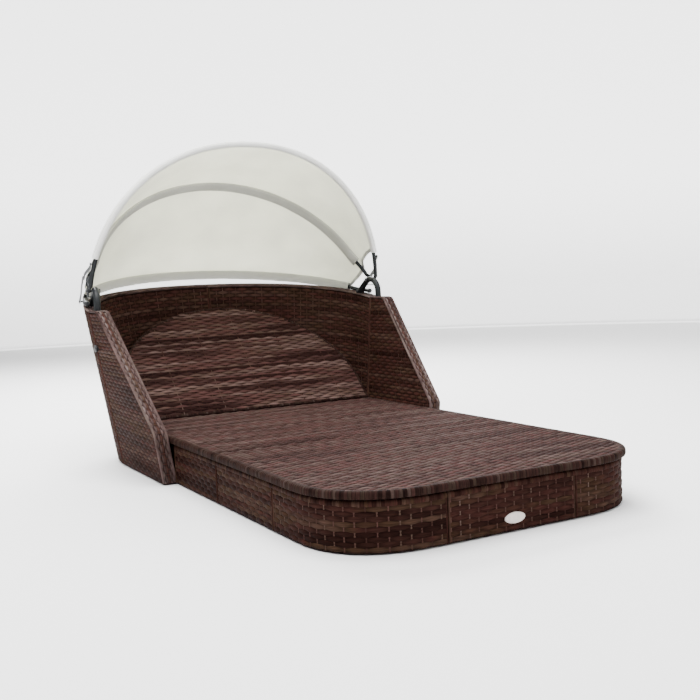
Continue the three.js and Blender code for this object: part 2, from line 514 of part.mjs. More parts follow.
// hub plates and bolts
{
  const g = cut(join(plateX([[HUB_Y - 11, 584], [HUB_Y + 11, 584], [HUB_Y + 11, 612], [HUB_Y + 7, 617], [HUB_Y - 7, 617], [HUB_Y - 11, 612]], ...X_PLATE),
    box(530, X_PLATE[0] + 1, HUB_Y - 11, HUB_Y - 3, 584, 587)), barX(X_PLATE[0] - 4, X_PLATE[1] + 4, ...hub, 4.4));
  pair(canopy, 'hub_plate', g, STEEL);
  pair(canopy, 'hub_bolt', join(barX(crown.x - 16, X_PLATE[1] + 2, ...hub, 4, 14), barX(X_PLATE[1] + 0.4, X_PLATE[1] + 5.2, ...hub, 6.5, 6),
    barX(crown.x - 18, crown.x - 13.2, ...hub, 6.5, 6)), ZINC);
}
// two-link folding stays
{
  // bar from p to q with flat rounded ends at xp and xq and a slanting stretch between them
  const flat = (p, q, xp, xq, w, t) => {
    const L = Math.hypot(q[0] - p[0], q[1] - p[1]), ux = (q[0] - p[0]) / L, uz = (q[1] - p[1]) / L;
    const on = (d, o) => [p[0] + ux * d - uz * o, p[1] + uz * d + ux * o];
    const d0 = 10, d1 = L - 10, o = w / 2 - 0.4;
    const g = plateX([on(d0, -o), on(d1, -o), on(d1, o), on(d0, o)], 0, t);
    const a = g.attributes.position;
    for (let i = 0; i < a.count; i++) {
      const k = ((a.getY(i) - p[0]) * ux + (a.getZ(i) - p[1]) * uz - d0) / (d1 - d0);
      a.setX(i, a.getX(i) + xp + (xq - xp) * k);
    }
    return join(plateX(capsule(p, on(d0, 0), w / 2, w / 2, 7), xp, xp + t), g, plateX(capsule(on(d1, 0), q, w / 2, w / 2, 7), xq, xq + t));
  };
  const xf = X_STAY, xe = 572.4, xr = 567.2;
  let up = flat(STAY_F, STAY_E, xf, xe, 15, 2.2);
  up = cut(up, barX(xf - 8, xf + 10, ...STAY_F, 3.5, 14));
  up = join(up, barX(xe + 0.4, xe + 6.6, ...STAY_E, 3, 14), barX(xe + 5.6, xe + 8, ...STAY_E, 5, 14));
  pair(canopy, 'stay_upper', up, ZINC);
  let low = flat(STAY_E, STAY_R, xe + 2.7, xr, 16, 2.2);
  low = cut(low, barX(xe - 6, xe + 12, ...STAY_E, 3.5, 14));
  low = join(low, barX(xr + 0.3, xr + 5, ...STAY_R, 5, 14));
  pair(canopy, 'stay_lower', low, ZINC);
}
// canopy cloth: two curved panels between the bows, each a segmented box bent onto a ruled surface
const EDGE = { rear: 172, middle: 122, front: 184 };   // where the side hem crosses each bow, measured up the bow's plane
// sag cuts the hem in between the bows, or lets it out where it is below zero
function clothPanel(b0, b1, e0, e1, v0, v1, sag) {
  const nu = 34, nv = 6, out = BOW_R + 2.8;
  const g = new THREE.BoxGeometry(1, 1, 1, nu, nv, 1);
  const p = g.attributes.position;
  const P = (u, v) => {
    const hem = (e0 * (1 - v) + e1 * v) + 4 * sag * v * (1 - v);
    const q0 = bowAt(b0, phiOf(b0, hem) + (Math.PI - 2 * phiOf(b0, hem)) * u);
    const q1 = bowAt(b1, phiOf(b1, hem) + (Math.PI - 2 * phiOf(b1, hem)) * u);
    return q0.lerp(q1, v);
  };
  const N = (u, v) => {
    const h = 1e-3, du = P(Math.min(1, u + h), v).sub(P(Math.max(0, u - h), v)), dv = P(u, v + h).sub(P(u, v - h));
    const n = new THREE.Vector3().crossVectors(du, dv).normalize();
    return n.dot(P(u, v).sub(V(0, BOW_Y0, BOW_Z0))) < 0 ? n.negate() : n;
  };
  for (let i = 0; i < p.count; i++) {
    const u = p.getX(i) + 0.5, v = v0 + (v1 - v0) * (p.getY(i) + 0.5), w = p.getZ(i) + 0.5;
    const q = P(u, v).addScaledVector(N(u, v), out - CLOTH_T + w * CLOTH_T);
    p.setXYZ(i, q.x, q.y, q.z);
  }
  // face order depends on the way round the bent box comes out
  const q = clean(g), t = q.index.array, a = q.attributes.position;
  let vol = 0;
  const A = V(0, 0, 0), B = V(0, 0, 0), C = V(0, 0, 0);
  for (let i = 0; i < t.length; i += 3) {
    A.fromBufferAttribute(a, t[i]); B.fromBufferAttribute(a, t[i + 1]); C.fromBufferAttribute(a, t[i + 2]);
    vol += A.dot(B.cross(C)) / 6;
  }
  if (vol < 0) for (let i = 0; i < t.length; i += 3) { const k = t[i]; t[i] = t[i + 1]; t[i + 1] = k; }
  return q;
}
put(canopy, 'canopy_cloth_rear', clothPanel(BOWS.rear, BOWS.middle, EDGE.rear, EDGE.middle, 0.02, 0.985, -12), CLOTH);
put(canopy, 'canopy_cloth_front', clothPanel(BOWS.middle, BOWS.front, EDGE.middle, EDGE.front, 0.015, 0.985, 11), CLOTH);

export default root;
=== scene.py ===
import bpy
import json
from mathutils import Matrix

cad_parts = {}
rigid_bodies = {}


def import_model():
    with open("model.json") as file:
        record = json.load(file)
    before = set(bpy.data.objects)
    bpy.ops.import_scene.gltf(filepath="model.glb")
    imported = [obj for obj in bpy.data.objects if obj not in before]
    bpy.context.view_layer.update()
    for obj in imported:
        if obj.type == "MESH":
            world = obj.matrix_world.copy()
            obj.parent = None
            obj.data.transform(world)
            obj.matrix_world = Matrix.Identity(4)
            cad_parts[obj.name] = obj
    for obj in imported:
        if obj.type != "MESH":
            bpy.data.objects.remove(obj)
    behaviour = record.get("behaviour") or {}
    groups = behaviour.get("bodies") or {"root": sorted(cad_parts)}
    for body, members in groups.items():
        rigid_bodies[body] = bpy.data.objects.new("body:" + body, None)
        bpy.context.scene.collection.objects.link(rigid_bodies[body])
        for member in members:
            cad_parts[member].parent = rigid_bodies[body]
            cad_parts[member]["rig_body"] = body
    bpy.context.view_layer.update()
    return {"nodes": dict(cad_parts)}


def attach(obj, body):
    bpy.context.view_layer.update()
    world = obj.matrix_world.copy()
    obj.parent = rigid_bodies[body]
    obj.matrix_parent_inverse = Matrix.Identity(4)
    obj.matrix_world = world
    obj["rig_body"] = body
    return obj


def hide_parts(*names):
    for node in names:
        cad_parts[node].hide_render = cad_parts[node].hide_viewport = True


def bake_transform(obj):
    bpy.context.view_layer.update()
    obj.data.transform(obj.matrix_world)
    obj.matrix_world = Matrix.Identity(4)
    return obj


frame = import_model()

import json
import math

import bmesh
import bpy
import numpy as np
from mathutils import Matrix, Vector

SH = 1.06564
RNG = np.random.RandomState(7)
NODES = frame["nodes"]


def arr(*v):
    return np.array(v, float)


# ------------------------------------------------------------------ camera, first
cam_data = bpy.data.cameras.new("camera")
cam_data.sensor_width = 36.0
cam_data.sensor_fit = "HORIZONTAL"
cam_data.lens = 51.784
cam_data.shift_x = -0.0898
cam_data.shift_y = -0.00579
cam_data.clip_end = 60
cam = bpy.data.objects.new("camera", cam_data)
bpy.context.scene.collection.objects.link(cam)
right, up, fwd = Vector((0.85499, -0.51719, -0.03873)), Vector((0.06951, 0.04028, 0.99677)), Vector((0.51396, 0.85492, -0.07039))
right.normalize()
fwd = (fwd - right * fwd.dot(right)).normalized()
up = right.cross(fwd)
M = Matrix.Identity(4)
for r in range(3):
    M[r][0], M[r][1], M[r][2] = right[r], up[r], -fwd[r]
M[0][3], M[1][3], M[2][3] = -1.4043, -1.9188 - SH, 0.6180
cam.matrix_world = M
bpy.context.scene.camera = cam


# ------------------------------------------------------------------ materials
def nodes_of(name):
    m = bpy.data.materials.new(name)
    m.use_nodes = True
    t = m.node_tree
    t.nodes.clear()
    out = t.nodes.new("ShaderNodeOutputMaterial")
    p = t.nodes.new("ShaderNodeBsdfPrincipled")
    t.links.new(p.outputs[0], out.inputs[0])
    return m, t, p, out


def node(t, kind, **kw):
    n = t.nodes.new(kind)
    for k, v in kw.items():
        setattr(n, k, v)
    return n


def ramp(t, fac, stops):
    n = t.nodes.new("ShaderNodeValToRGB")
    e = n.color_ramp.elements
    while len(e) < len(stops):
        e.new(0.5)
    for i, (p, c) in enumerate(stops):
        e[i].position = p
        e[i].color = (*c, 1) if len(c) == 3 else c
    t.links.new(fac, n.inputs[0])
    return n


def math_node(t, op, a, b=None, clamp=False):
    n = t.nodes.new("ShaderNodeMath")
    n.operation = op
    n.use_clamp = clamp
    for i, v in enumerate((a, b)):
        if v is None:
            continue
        if isinstance(v, (int, float)):
            n.inputs[i].default_value = v
        else:
            t.links.new(v, n.inputs[i])
    return n.outputs[0]


def wicker(name, dark, mid, red, olive, light, gain=1.0, rough=0.55, shadow=0.35, spec=0.010, band=0.45, spread=1.5, under=0.55):
    """Flat resin strand: mottled along its length, finely grooved along it. Reads the strand attribute
    (x: metres along, y: strand number plus a fraction for how deep it dips, z: -1..1 across)."""
    m, t, p, out = nodes_of(name)
    L = t.links
    at = node(t, "ShaderNodeAttribute", attribute_name="strand")
    sep = node(t, "ShaderNodeSeparateXYZ")
    L.new(at.outputs["Vector"], sep.inputs[0])
    x, y0, z = sep.outputs
    ys = math_node(t, "ADD", y0, 0.25)
    y = math_node(t, "FLOOR", ys)
    dip = math_node(t, "SUBTRACT", math_node(t, "SUBTRACT", ys, y), 0.25)
    # slow change along a strand, a different one on each strand
    c1 = node(t, "ShaderNodeCombineXYZ")
    L.new(math_node(t, "MULTIPLY", x, 2.1), c1.inputs[0])
    L.new(math_node(t, "MULTIPLY", y, 3.71), c1.inputs[1])
    n1 = node(t, "ShaderNodeTexNoise")
    n1.inputs["Scale"].default_value = 1.0
    n1.inputs["Detail"].default_value = 2.0
    L.new(c1.outputs[0], n1.inputs["Vector"])
    # bands that several neighbouring strands share
    c2 = node(t, "ShaderNodeCombineXYZ")
    L.new(math_node(t, "MULTIPLY", x, 1.3), c2.inputs[0])
    L.new(math_node(t, "MULTIPLY", y, 0.41), c2.inputs[1])
    n2 = node(t, "ShaderNodeTexNoise")
    n2.inputs["Scale"].default_value = 1.0
    n2.inputs["Detail"].default_value = 2.0
    L.new(c2.outputs[0], n2.inputs["Vector"])
    mixv = math_node(t, "ADD", math_node(t, "MULTIPLY", n1.outputs[0], (1 - band) * spread), math_node(t, "MULTIPLY", n2.outputs[0], band * spread))
    mixv = math_node(t, "ADD", mixv, 0.5 - 0.5 * spread)
    g = lambda c: tuple(min(1.0, v * gain) for v in c)
    r1 = ramp(t, mixv, [(0.33, g(dark)), (0.43, g(mid)), (0.50, g(red)), (0.56, g(olive)), (0.64, g(light)), (0.74, g(mid))])
    # streaks of pigment, long along the strand and narrow across
    c3 = node(t, "ShaderNodeCombineXYZ")
    L.new(math_node(t, "MULTIPLY", x, 30.0), c3.inputs[0])
    L.new(math_node(t, "MULTIPLY", y, 9.1), c3.inputs[1])
    L.new(math_node(t, "MULTIPLY", z, 2.4), c3.inputs[2])
    n3 = node(t, "ShaderNodeTexNoise")
    n3.inputs["Scale"].default_value = 1.0
    n3.inputs["Detail"].default_value = 4.0
    L.new(c3.outputs[0], n3.inputs["Vector"])
    s3 = ramp(t, n3.outputs[0], [(0.32, (0.62, 0.60, 0.60)), (0.5, (1, 1, 1)), (0.70, (1.32, 1.30, 1.27))])
    mul = node(t, "ShaderNodeMix", data_type="RGBA", blend_type="MULTIPLY")
    mul.inputs[0].default_value = 1.0
    L.new(r1.outputs[0], mul.inputs[6])
    L.new(s3.outputs[0], mul.inputs[7])
    # painted shade: darker towards a strand's edges
    edge = math_node(t, "POWER", math_node(t, "ABSOLUTE", z), 4.0)
    e3 = ramp(t, edge, [(0.0, (1, 1, 1)), (1.0, (shadow, shadow, shadow))])
    mul2 = node(t, "ShaderNodeMix", data_type="RGBA", blend_type="MULTIPLY")
    mul2.inputs[0].default_value = 1.0
    L.new(mul.outputs[2], mul2.inputs[6])
    L.new(e3.outputs[0], mul2.inputs[7])
    # painted shade where it dips under a rib, and a slight painted highlight where it rides over one
    d3 = ramp(t, dip, [(0.0, (1.08, 1.08, 1.08)), (0.20, (1, 1, 1)), (0.45, (under, under, under))])
    mul3 = node(t, "ShaderNodeMix", data_type="RGBA", blend_type="MULTIPLY")
    mul3.inputs[0].default_value = 1.0
    L.new(mul2.outputs[2], mul3.inputs[6])
    L.new(d3.outputs[0], mul3.inputs[7])
    L.new(mul3.outputs[2], p.inputs["Base Color"])
    # fine grooves and a slightly uneven gloss
    c4 = node(t, "ShaderNodeCombineXYZ")
    L.new(math_node(t, "MULTIPLY", x, 40.0), c4.inputs[0])
    L.new(math_node(t, "MULTIPLY", y, 5.3), c4.inputs[1])
    L.new(math_node(t, "MULTIPLY", z, 7.0), c4.inputs[2])
    n4 = node(t, "ShaderNodeTexNoise")
    n4.inputs["Scale"].default_value = 1.0
    n4.inputs["Detail"].default_value = 2.0
    L.new(c4.outputs[0], n4.inputs["Vector"])
    b = node(t, "ShaderNodeBump")
    b.inputs["Strength"].default_value = 0.35
    b.inputs["Distance"].default_value = 0.0006
    L.new(n4.outputs[0], b.inputs["Height"])
    L.new(b.outputs[0], p.inputs["Normal"])
    rr = ramp(t, n1.outputs[0], [(0.3, (rough - 0.07,) * 3), (0.7, (rough + 0.08,) * 3)])
    L.new(rr.outputs[0], p.inputs["Roughness"])
    p.inputs["Specular IOR Level"].default_value = spec
    return m


WEAVE = wicker("resin_strand", (0.0140, 0.0058, 0.0046), (0.0270, 0.0122, 0.0096), (0.0350, 0.0140, 0.0114), (0.0310, 0.0172, 0.0112), (0.0480, 0.0270, 0.0215), gain=1.22, shadow=0.5, band=0.6, under=0.60)
WEAVE_SKIRT = wicker("resin_strand_skirt", (0.0110, 0.0044, 0.0034), (0.0205, 0.0088, 0.0068), (0.0270, 0.0105, 0.0084), (0.0260, 0.0142, 0.0086), (0.0370, 0.0205, 0.0150), gain=1.13, shadow=0.78, band=0.70, spread=1.7, under=0.80)
WEAVE_DECK = wicker("resin_strand_deck", (0.0290, 0.0165, 0.0150), (0.0440, 0.0240, 0.0215), (0.0600, 0.0280, 0.0255), (0.0520, 0.0350, 0.0290), (0.0740, 0.0490, 0.0430), gain=0.95, rough=0.60, shadow=0.30, band=0.72, spread=2.0, under=0.72)
# painted light: the wall edges' strands in a much lighter colour, standing for the highlights on these upward-facing
# edges
WEAVE_EDGE_PAINTED_LIGHT = wicker("resin_strand_edge_painted_light", (0.0300, 0.0180, 0.0165), (0.0580, 0.0380, 0.0350), (0.0760, 0.0500, 0.0470), (0.0700, 0.0500, 0.0440), (0.1250, 0.0940, 0.0880), spread=1.6)
WEAVE_RIB = wicker("resin_rib", (0.0260, 0.0120, 0.0098), (0.0400, 0.0200, 0.0160), (0.0520, 0.0250, 0.0205), (0.0500, 0.0310, 0.0230), (0.0760, 0.0490, 0.0400))
WEAVE_PANEL = wicker("resin_strand_panel", (0.0130, 0.0058, 0.0050), (0.0280, 0.0140, 0.0120), (0.0460, 0.0215, 0.0190), (0.0430, 0.0262, 0.0205), (0.0720, 0.0450, 0.0390), gain=1.48, shadow=0.55, band=0.78, spread=1.65, under=0.76)
# painted shade: the resin strand in a darker colour, standing for shade on the decks' rims, the decks' cross ribs and
# the backrest's border
WEAVE_RIM_PAINTED_SHADE = wicker("resin_strand_rim_painted_shade", (0.0120, 0.0056, 0.0046), (0.0240, 0.0122, 0.0100), (0.0330, 0.0155, 0.0132), (0.0300, 0.0190, 0.0140), (0.0520, 0.0330, 0.0280), gain=0.66, band=0.30, spread=1.5)


def painted_shade_core_material():
    """What shows between the strands: painted shade, a near-black colour standing for the shaded backs of other
    strands.
    """
    m, t, p, out = nodes_of("strand_backs_painted_shade")
    tc = node(t, "ShaderNodeTexCoord")
    n = node(t, "ShaderNodeTexNoise")
    n.inputs["Scale"].default_value = 55
    n.inputs["Detail"].default_value = 3
    t.links.new(tc.outputs["Object"], n.inputs["Vector"])
    r = ramp(t, n.outputs[0], [(0.35, (0.0060, 0.0028, 0.0024)), (0.65, (0.0145, 0.0068, 0.0058))])
    t.links.new(r.outputs[0], p.inputs["Base Color"])
    b = node(t, "ShaderNodeBump")
    b.inputs["Strength"].default_value = 0.5
    b.inputs["Distance"].default_value = 0.001
    t.links.new(n.outputs[0], b.inputs["Height"])
    t.links.new(b.outputs[0], p.inputs["Normal"])
    p.inputs["Roughness"].default_value = 0.8
    p.inputs["Specular IOR Level"].default_value = 0.01
    return m


CORE_PAINTED_SHADE = painted_shade_core_material()


def metal(name, base, rough, metallic, scale=240, spread=0.12, bump=0.12, orange=0.0002, wear=None):
    m, t, p, out = nodes_of(name)
    tc = node(t, "ShaderNodeTexCoord")
    n = node(t, "ShaderNodeTexNoise")
    n.inputs["Scale"].default_value = scale
    n.inputs["Detail"].default_value = 3
    t.links.new(tc.outputs["Object"], n.inputs["Vector"])
    lo = tuple(v * (1 - spread) for v in base)
    hi = tuple(min(1, v * (1 + spread)) for v in base)
    r = ramp(t, n.outputs[0], [(0.35, lo), (0.65, hi)])
    col = r.outputs[0]
    if wear:
        g = node(t, "ShaderNodeNewGeometry")
        w = ramp(t, g.outputs["Pointiness"], [(0.52, (0, 0, 0)), (0.60, (1, 1, 1))])
        n2 = node(t, "ShaderNodeTexNoise")
        n2.inputs["Scale"].default_value = 60
        t.links.new(tc.outputs["Object"], n2.inputs["Vector"])
        f = math_node(t, "MULTIPLY", w.outputs[0], n2.outputs[0])
        mx = node(t, "ShaderNodeMix", data_type="RGBA")
        t.links.new(f, mx.inputs[0])
        t.links.new(col, mx.inputs[6])
        mx.inputs[7].default_value = (*wear, 1)
        col = mx.outputs[2]
    t.links.new(col, p.inputs["Base Color"])
    rr = ramp(t, n.outputs[0], [(0.3, (max(0.05, rough - 0.06),) * 3), (0.7, (rough + 0.07,) * 3)])
    t.links.new(rr.outputs[0], p.inputs["Roughness"])
    b = node(t, "ShaderNodeBump")
    b.inputs["Strength"].default_value = bump
    b.inputs["Distance"].default_value = orange
    t.links.new(n.outputs[0], b.inputs["Height"])
    t.links.new(b.outputs[0], p.inputs["Normal"])
    p.inputs["Metallic"].default_value = metallic
    return m


STEEL = metal("powder_coat", (0.011, 0.0125, 0.0135), 0.44, 0.0, scale=700, bump=0.25, wear=(0.032, 0.035, 0.037))
STEEL.node_tree.nodes["Principled BSDF"].inputs["Specular IOR Level"].default_value = 0.22
ZINC = metal("zinc_bar", (0.25, 0.255, 0.26), 0.42, 0.85, scale=90, spread=0.2)
BLACK = metal("moulded_black", (0.012, 0.012, 0.013), 0.48, 0.0, scale=500, bump=0.2)
DARK_ZINC = metal("zinc_bolt", (0.055, 0.057, 0.060), 0.42, 0.6, scale=120, spread=0.15)
PLATE = metal("bare_plate", (0.62, 0.55, 0.51), 0.34, 0.6, scale=160, spread=0.07)


def cloth_material(name, base, translucency, weave_scale=1500.0):
    m, t, p, out = nodes_of(name)
    L = t.links
    uv = node(t, "ShaderNodeUVMap", uv_map="cloth")
    mp = node(t, "ShaderNodeSeparateXYZ")
    L.new(uv.outputs[0], mp.inputs[0])
    # plain weave: two crossed sets of fine threads, in metres on the cloth
    wx = math_node(t, "SINE", math_node(t, "MULTIPLY", mp.outputs[0], 2 * math.pi * weave_scale))
    wy = math_node(t, "SINE", math_node(t, "MULTIPLY", mp.outputs[1], 2 * math.pi * weave_scale))
    h = math_node(t, "MULTIPLY", wx, wy)
    sc = node(t, "ShaderNodeVectorMath", operation="SCALE")
    L.new(uv.outputs[0], sc.inputs[0])
    sc.inputs["Scale"].default_value = 1.0
    n = node(t, "ShaderNodeTexNoise")
    n.inputs["Scale"].default_value = 7.0
    n.inputs["Detail"].default_value = 5
    L.new(sc.outputs[0], n.inputs["Vector"])
    lo, hi = tuple(v * 0.955 for v in base), tuple(min(1, v * 1.035) for v in base)
    r = ramp(t, n.outputs[0], [(0.35, lo), (0.65, hi)])
    L.new(r.outputs[0], p.inputs["Base Color"])
    p.inputs["Roughness"].default_value = 0.88
    p.inputs["Specular IOR Level"].default_value = 0.2
    p.inputs["Sheen Weight"].default_value = 0.12
    n2 = node(t, "ShaderNodeTexNoise")
    n2.inputs["Scale"].default_value = 3.2
    n2.inputs["Detail"].default_value = 3
    L.new(sc.outputs[0], n2.inputs["Vector"])
    hh = math_node(t, "ADD", math_node(t, "MULTIPLY", h, 0.05), math_node(t, "MULTIPLY", n2.outputs[0], 1.0))
    b = node(t, "ShaderNodeBump")
    b.inputs["Strength"].default_value = 0.25
    b.inputs["Distance"].default_value = 0.004
    L.new(hh, b.inputs["Height"])
    L.new(b.outputs[0], p.inputs["Normal"])
    tr = node(t, "ShaderNodeBsdfTranslucent")
    L.new(r.outputs[0], tr.inputs["Color"])
    mx = node(t, "ShaderNodeMixShader")
    mx.inputs[0].default_value = translucency
    L.new(p.outputs[0], mx.inputs[1])
    L.new(tr.outputs[0], mx.inputs[2])
    L.new(mx.outputs[0], out.inputs[0])
    return m


CLOTH = cloth_material("canopy_cloth", (0.835, 0.835, 0.74), 0.52)
# painted shade: the canopy cloth in a darker grey copy, for the sleeves of the middle and rear bows and for the hems
SLEEVE_PAINTED_SHADE = cloth_material("canopy_sleeve_painted_shade", (0.50, 0.50, 0.455), 0.05)
SLEEVE_FRONT = cloth_material("canopy_sleeve_front", (0.86, 0.86, 0.83), 0.12)
THREAD = metal("sewing_thread", (0.60, 0.60, 0.56), 0.8, 0.0, scale=900)


# ------------------------------------------------------------------ mesh helpers
class Bag:
    """Gathers vertices, faces and the strand attribute of many small grids into one mesh."""

    def __init__(self):
        self.v, self.f, self.s, self.n = [], [], [], 0
        self.uv, self.rect = [], []

    def rectangle(self, u, v, w, h):
        """Corner places of a patch in its own rectangle of w by h; the longer side is laid flat."""
        if h > w:
            u, v, w, h = v, u, h, w
        self.uv.append(np.stack([u, v], -1))
        self.rect.append((max(w, 1e-4), max(h, 1e-4), len(u)))

    def grid(self, P, strand=None, close=False):
        """P is (rows, columns, 3); close joins the last column to the first."""
        a, b = P.shape[:2]
        i = np.arange(a * b).reshape(a, b) + self.n
        if close:
            i = np.concatenate([i, i[:, :1]], 1)
        q = np.stack([i[:-1, :-1], i[:-1, 1:], i[1:, 1:], i[1:, :-1]], -1).reshape(-1, 4)
        A, B = i.shape
        r, c = np.meshgrid(np.arange(A) / (A - 1), np.arange(B) / (B - 1), indexing="ij")
        cu = np.stack([r[:-1, :-1], r[:-1, 1:], r[1:, 1:], r[1:, :-1]], -1).reshape(-1)
        cv = np.stack([c[:-1, :-1], c[:-1, 1:], c[1:, 1:], c[1:, :-1]], -1).reshape(-1)
        Q = np.concatenate([P, P[:, :1]], 1) if close else P
        la = np.linalg.norm(np.diff(Q, axis=0), axis=-1).sum(0).mean()
        lb = np.linalg.norm(np.diff(Q, axis=1), axis=-1).sum(1).mean()
        self.rectangle(cu, cv, la, lb)
        self.v.append(P.reshape(-1, 3))
        self.f.append(q)
        self.s.append(np.zeros((a * b, 3)) if strand is None else strand.reshape(-1, 3))
        self.n += a * b

    def fan(self, ring, centre, strand=(0, 0, 0), flip=False):
        k = len(ring)
        base = self.n
        self.v.append(np.vstack([ring, centre[None]]))
        self.s.append(np.tile(np.array(strand, float), (k + 1, 1)))
        self.n += k + 1
        idx = np.arange(k)
        tri = np.stack([base + idx, base + (idx + 1) % k, np.full(k, base + k), np.full(k, -1)], -1)
        t0, t1 = 2 * np.pi * idx / k, 2 * np.pi * (idx + 1) / k
        half = np.full(k, 0.5)
        u = np.stack([0.5 + 0.5 * np.cos(t0), 0.5 + 0.5 * np.cos(t1), half], -1)
        v = np.stack([0.5 + 0.5 * np.sin(t0), 0.5 + 0.5 * np.sin(t1), half], -1)
        if flip:
            tri = tri[:, [1, 0, 2, 3]]
            u, v = u[:, [1, 0, 2]], v[:, [1, 0, 2]]
        r = 2 * float(np.linalg.norm(ring - centre, axis=-1).mean()) + 1e-5
        self.rectangle(u.reshape(-1), v.reshape(-1), r, r)
        self.f.append(tri)

    def layout(self):
        """Shelves of rectangles, tallest first, so that every patch has a place of its own on the bake map."""
        gap = 0.0012
        w = np.array([r[0] for r in self.rect])
        h = np.array([r[1] for r in self.rect])
        wide = max(w.max() + 2 * gap, math.sqrt(float(((w + gap) * (h + gap)).sum()) * 1.15))
        order = np.lexsort((-w, -np.round(h, 4)))
        x = y = gap
        shelf = 0.0
        place = {}
        for k in order:
            if x + w[k] + gap > wide and x > gap:
                x, y, shelf = gap, y + shelf + gap, 0.0
            place[k] = (x, y)
            x += w[k] + gap
            shelf = max(shelf, h[k])
        tall = y + shelf + gap
        out = []
        for k, uv in enumerate(self.uv):
            px, py = place[k]
            out.append(np.stack([(px + uv[:, 0] * w[k]) / wide, (py + uv[:, 1] * h[k]) / tall], -1))
        return np.vstack(out)

    def mesh(self, name):
        V = np.vstack(self.v)
        V = V - np.array([0, SH, 0])
        F = np.vstack(self.f)
        me = bpy.data.meshes.new(name)
        quads = F[:, 3] >= 0
        sizes = np.where(quads, 4, 3)
        loops = F[F >= 0]
        starts = np.concatenate([[0], np.cumsum(sizes)[:-1]])
        me.vertices.add(len(V))
        me.vertices.foreach_set("co", V.astype(np.float32).ravel())
        me.loops.add(len(loops))
        me.loops.foreach_set("vertex_index", loops.astype(np.int32))
        me.polygons.add(len(F))
        me.polygons.foreach_set("loop_start", starts.astype(np.int32))
        me.polygons.foreach_set("loop_total", sizes.astype(np.int32))
        me.update(calc_edges=True)
        a = me.attributes.new("strand", "FLOAT_VECTOR", "POINT")
        a.data.foreach_set("vector", np.vstack(self.s).astype(np.float32).ravel())
        me.polygons.foreach_set("use_smooth", np.ones(len(F), bool))
        uvl = me.uv_layers.new(name="OFBake")
        uvl.data.foreach_set("uv", self.layout().astype(np.float32).ravel())
        me.validate()
        return me


def add(name, me, material, body, replaces=()):
    o = bpy.data.objects.new(name, me)
    bpy.context.scene.collection.objects.link(o)
    if not me.materials:
        for mt in material if isinstance(material, (list, tuple)) else [material]:
            me.materials.append(mt)
    if body:
        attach(o, body)
    if replaces:
        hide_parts(*replaces)
    return o


def frames(P):
    """Rotation-minimising frames along the points P: tangent and two normals."""
    T = np.gradient(P, axis=0)
    T /= np.linalg.norm(T, axis=1, keepdims=True)
    a = arr(1, 0, 0) if abs(T[0][0]) < 0.8 else arr(0, 0, 1)
    n = a - T[0] * (a @ T[0])
    n /= np.linalg.norm(n)
    N = [n]
    for i in range(1, len(P)):
        n = N[-1] - T[i] * (N[-1] @ T[i])
        N.append(n / np.linalg.norm(n))
    N = np.array(N)
    return T, N, np.cross(T, N)


def resample(P, step=None, n=None):
    P = np.asarray(P, float)
    d = np.concatenate([[0], np.cumsum(np.linalg.norm(np.diff(P, axis=0), axis=1))])
    n = n or max(3, int(round(d[-1] / step)) + 1)
    t = np.linspace(0, d[-1], n)
    return np.stack([np.interp(t, d, P[:, k]) for k in range(3)], -1), t


def catmull(P, per=10):
    P = np.asarray(P, float)
    Q = np.vstack([2 * P[0] - P[1], P, 2 * P[-1] - P[-2]])
    out = []
    t = np.linspace(0, 1, per, endpoint=False)[:, None]
    for i in range(1, len(Q) - 2):
        a, b, c, d = Q[i - 1], Q[i], Q[i + 1], Q[i + 2]
        out.append(0.5 * (2 * b + (c - a) * t + (2 * a - 5 * b + 4 * c - d) * t ** 2 + (3 * b - a - 3 * c + d) * t ** 3))
    return np.vstack(out + [P[-1:]])


def sweep(bag, P, ra, rb=None, A=None, sides=16, power=2.0, cap=True, row=0.0):
    """Tube along P. ra and rb are half widths along A (a fixed direction, made square to the path) and across it."""
    P = np.asarray(P, float)
    n = len(P)
    ra = np.broadcast_to(np.asarray(ra, float), n)
    rb = ra if rb is None else np.broadcast_to(np.asarray(rb, float), n)
    if A is None:
        T, N, B = frames(P)
    else:
        T = np.gradient(P, axis=0)
        T /= np.linalg.norm(T, axis=1, keepdims=True)
        A = np.broadcast_to(np.asarray(A, float), (n, 3))
        N = A - T * (A * T).sum(1, keepdims=True)
        N /= np.linalg.norm(N, axis=1, keepdims=True)
        B = np.cross(T, N)
    th = np.linspace(0, 2 * np.pi, sides, endpoint=False)
    c = np.sign(np.cos(th)) * np.abs(np.cos(th)) ** (2 / power)
    s = np.sign(np.sin(th)) * np.abs(np.sin(th)) ** (2 / power)
    G = P[:, None] + N[:, None] * (ra[:, None] * c[None])[..., None] + B[:, None] * (rb[:, None] * s[None])[..., None]
    d = np.concatenate([[0], np.cumsum(np.linalg.norm(np.diff(P, axis=0), axis=1))])
    st = np.zeros((n, sides, 3))
    st[..., 0] = d[:, None]
    st[..., 1] = row
    bag.grid(G, st, close=True)
    if cap:
        bag.fan(G[0], P[0], st[0, 0], flip=False)
        bag.fan(G[-1], P[-1], st[-1, 0], flip=True)


def refine(node_name, material, width=0.0006, segments=2, name=None, angle=30):
    """A CAD solid with its flat faces merged, its edges rounded and a finish of its own."""
    src = NODES[node_name]
    me = src.data.copy()
    me.materials.clear()
    bm = bmesh.new()
    bm.from_mesh(me)
    bmesh.ops.remove_doubles(bm, verts=bm.verts, dist=1e-6)
    bmesh.ops.dissolve_limit(bm, angle_limit=math.radians(1.0), verts=bm.verts, edges=bm.edges)
    sharp = [e for e in bm.edges if len(e.link_faces) == 2 and e.calc_face_angle(0) > math.radians(angle)]
    if width > 0:
        bmesh.ops.bevel(bm, geom=sharp, offset=width, offset_type="OFFSET", segments=segments, profile=0.5, affect="EDGES", clamp_overlap=True)
    for f in bm.faces:
        f.smooth = True
    bm.normal_update()
    bm.to_mesh(me)
    bm.free()
    me.materials.append(material)
    me.set_sharp_from_angle(angle=math.radians(38))
    o = add(name or ("fine_" + node_name), me, material, src["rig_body"], (node_name,))
    return o


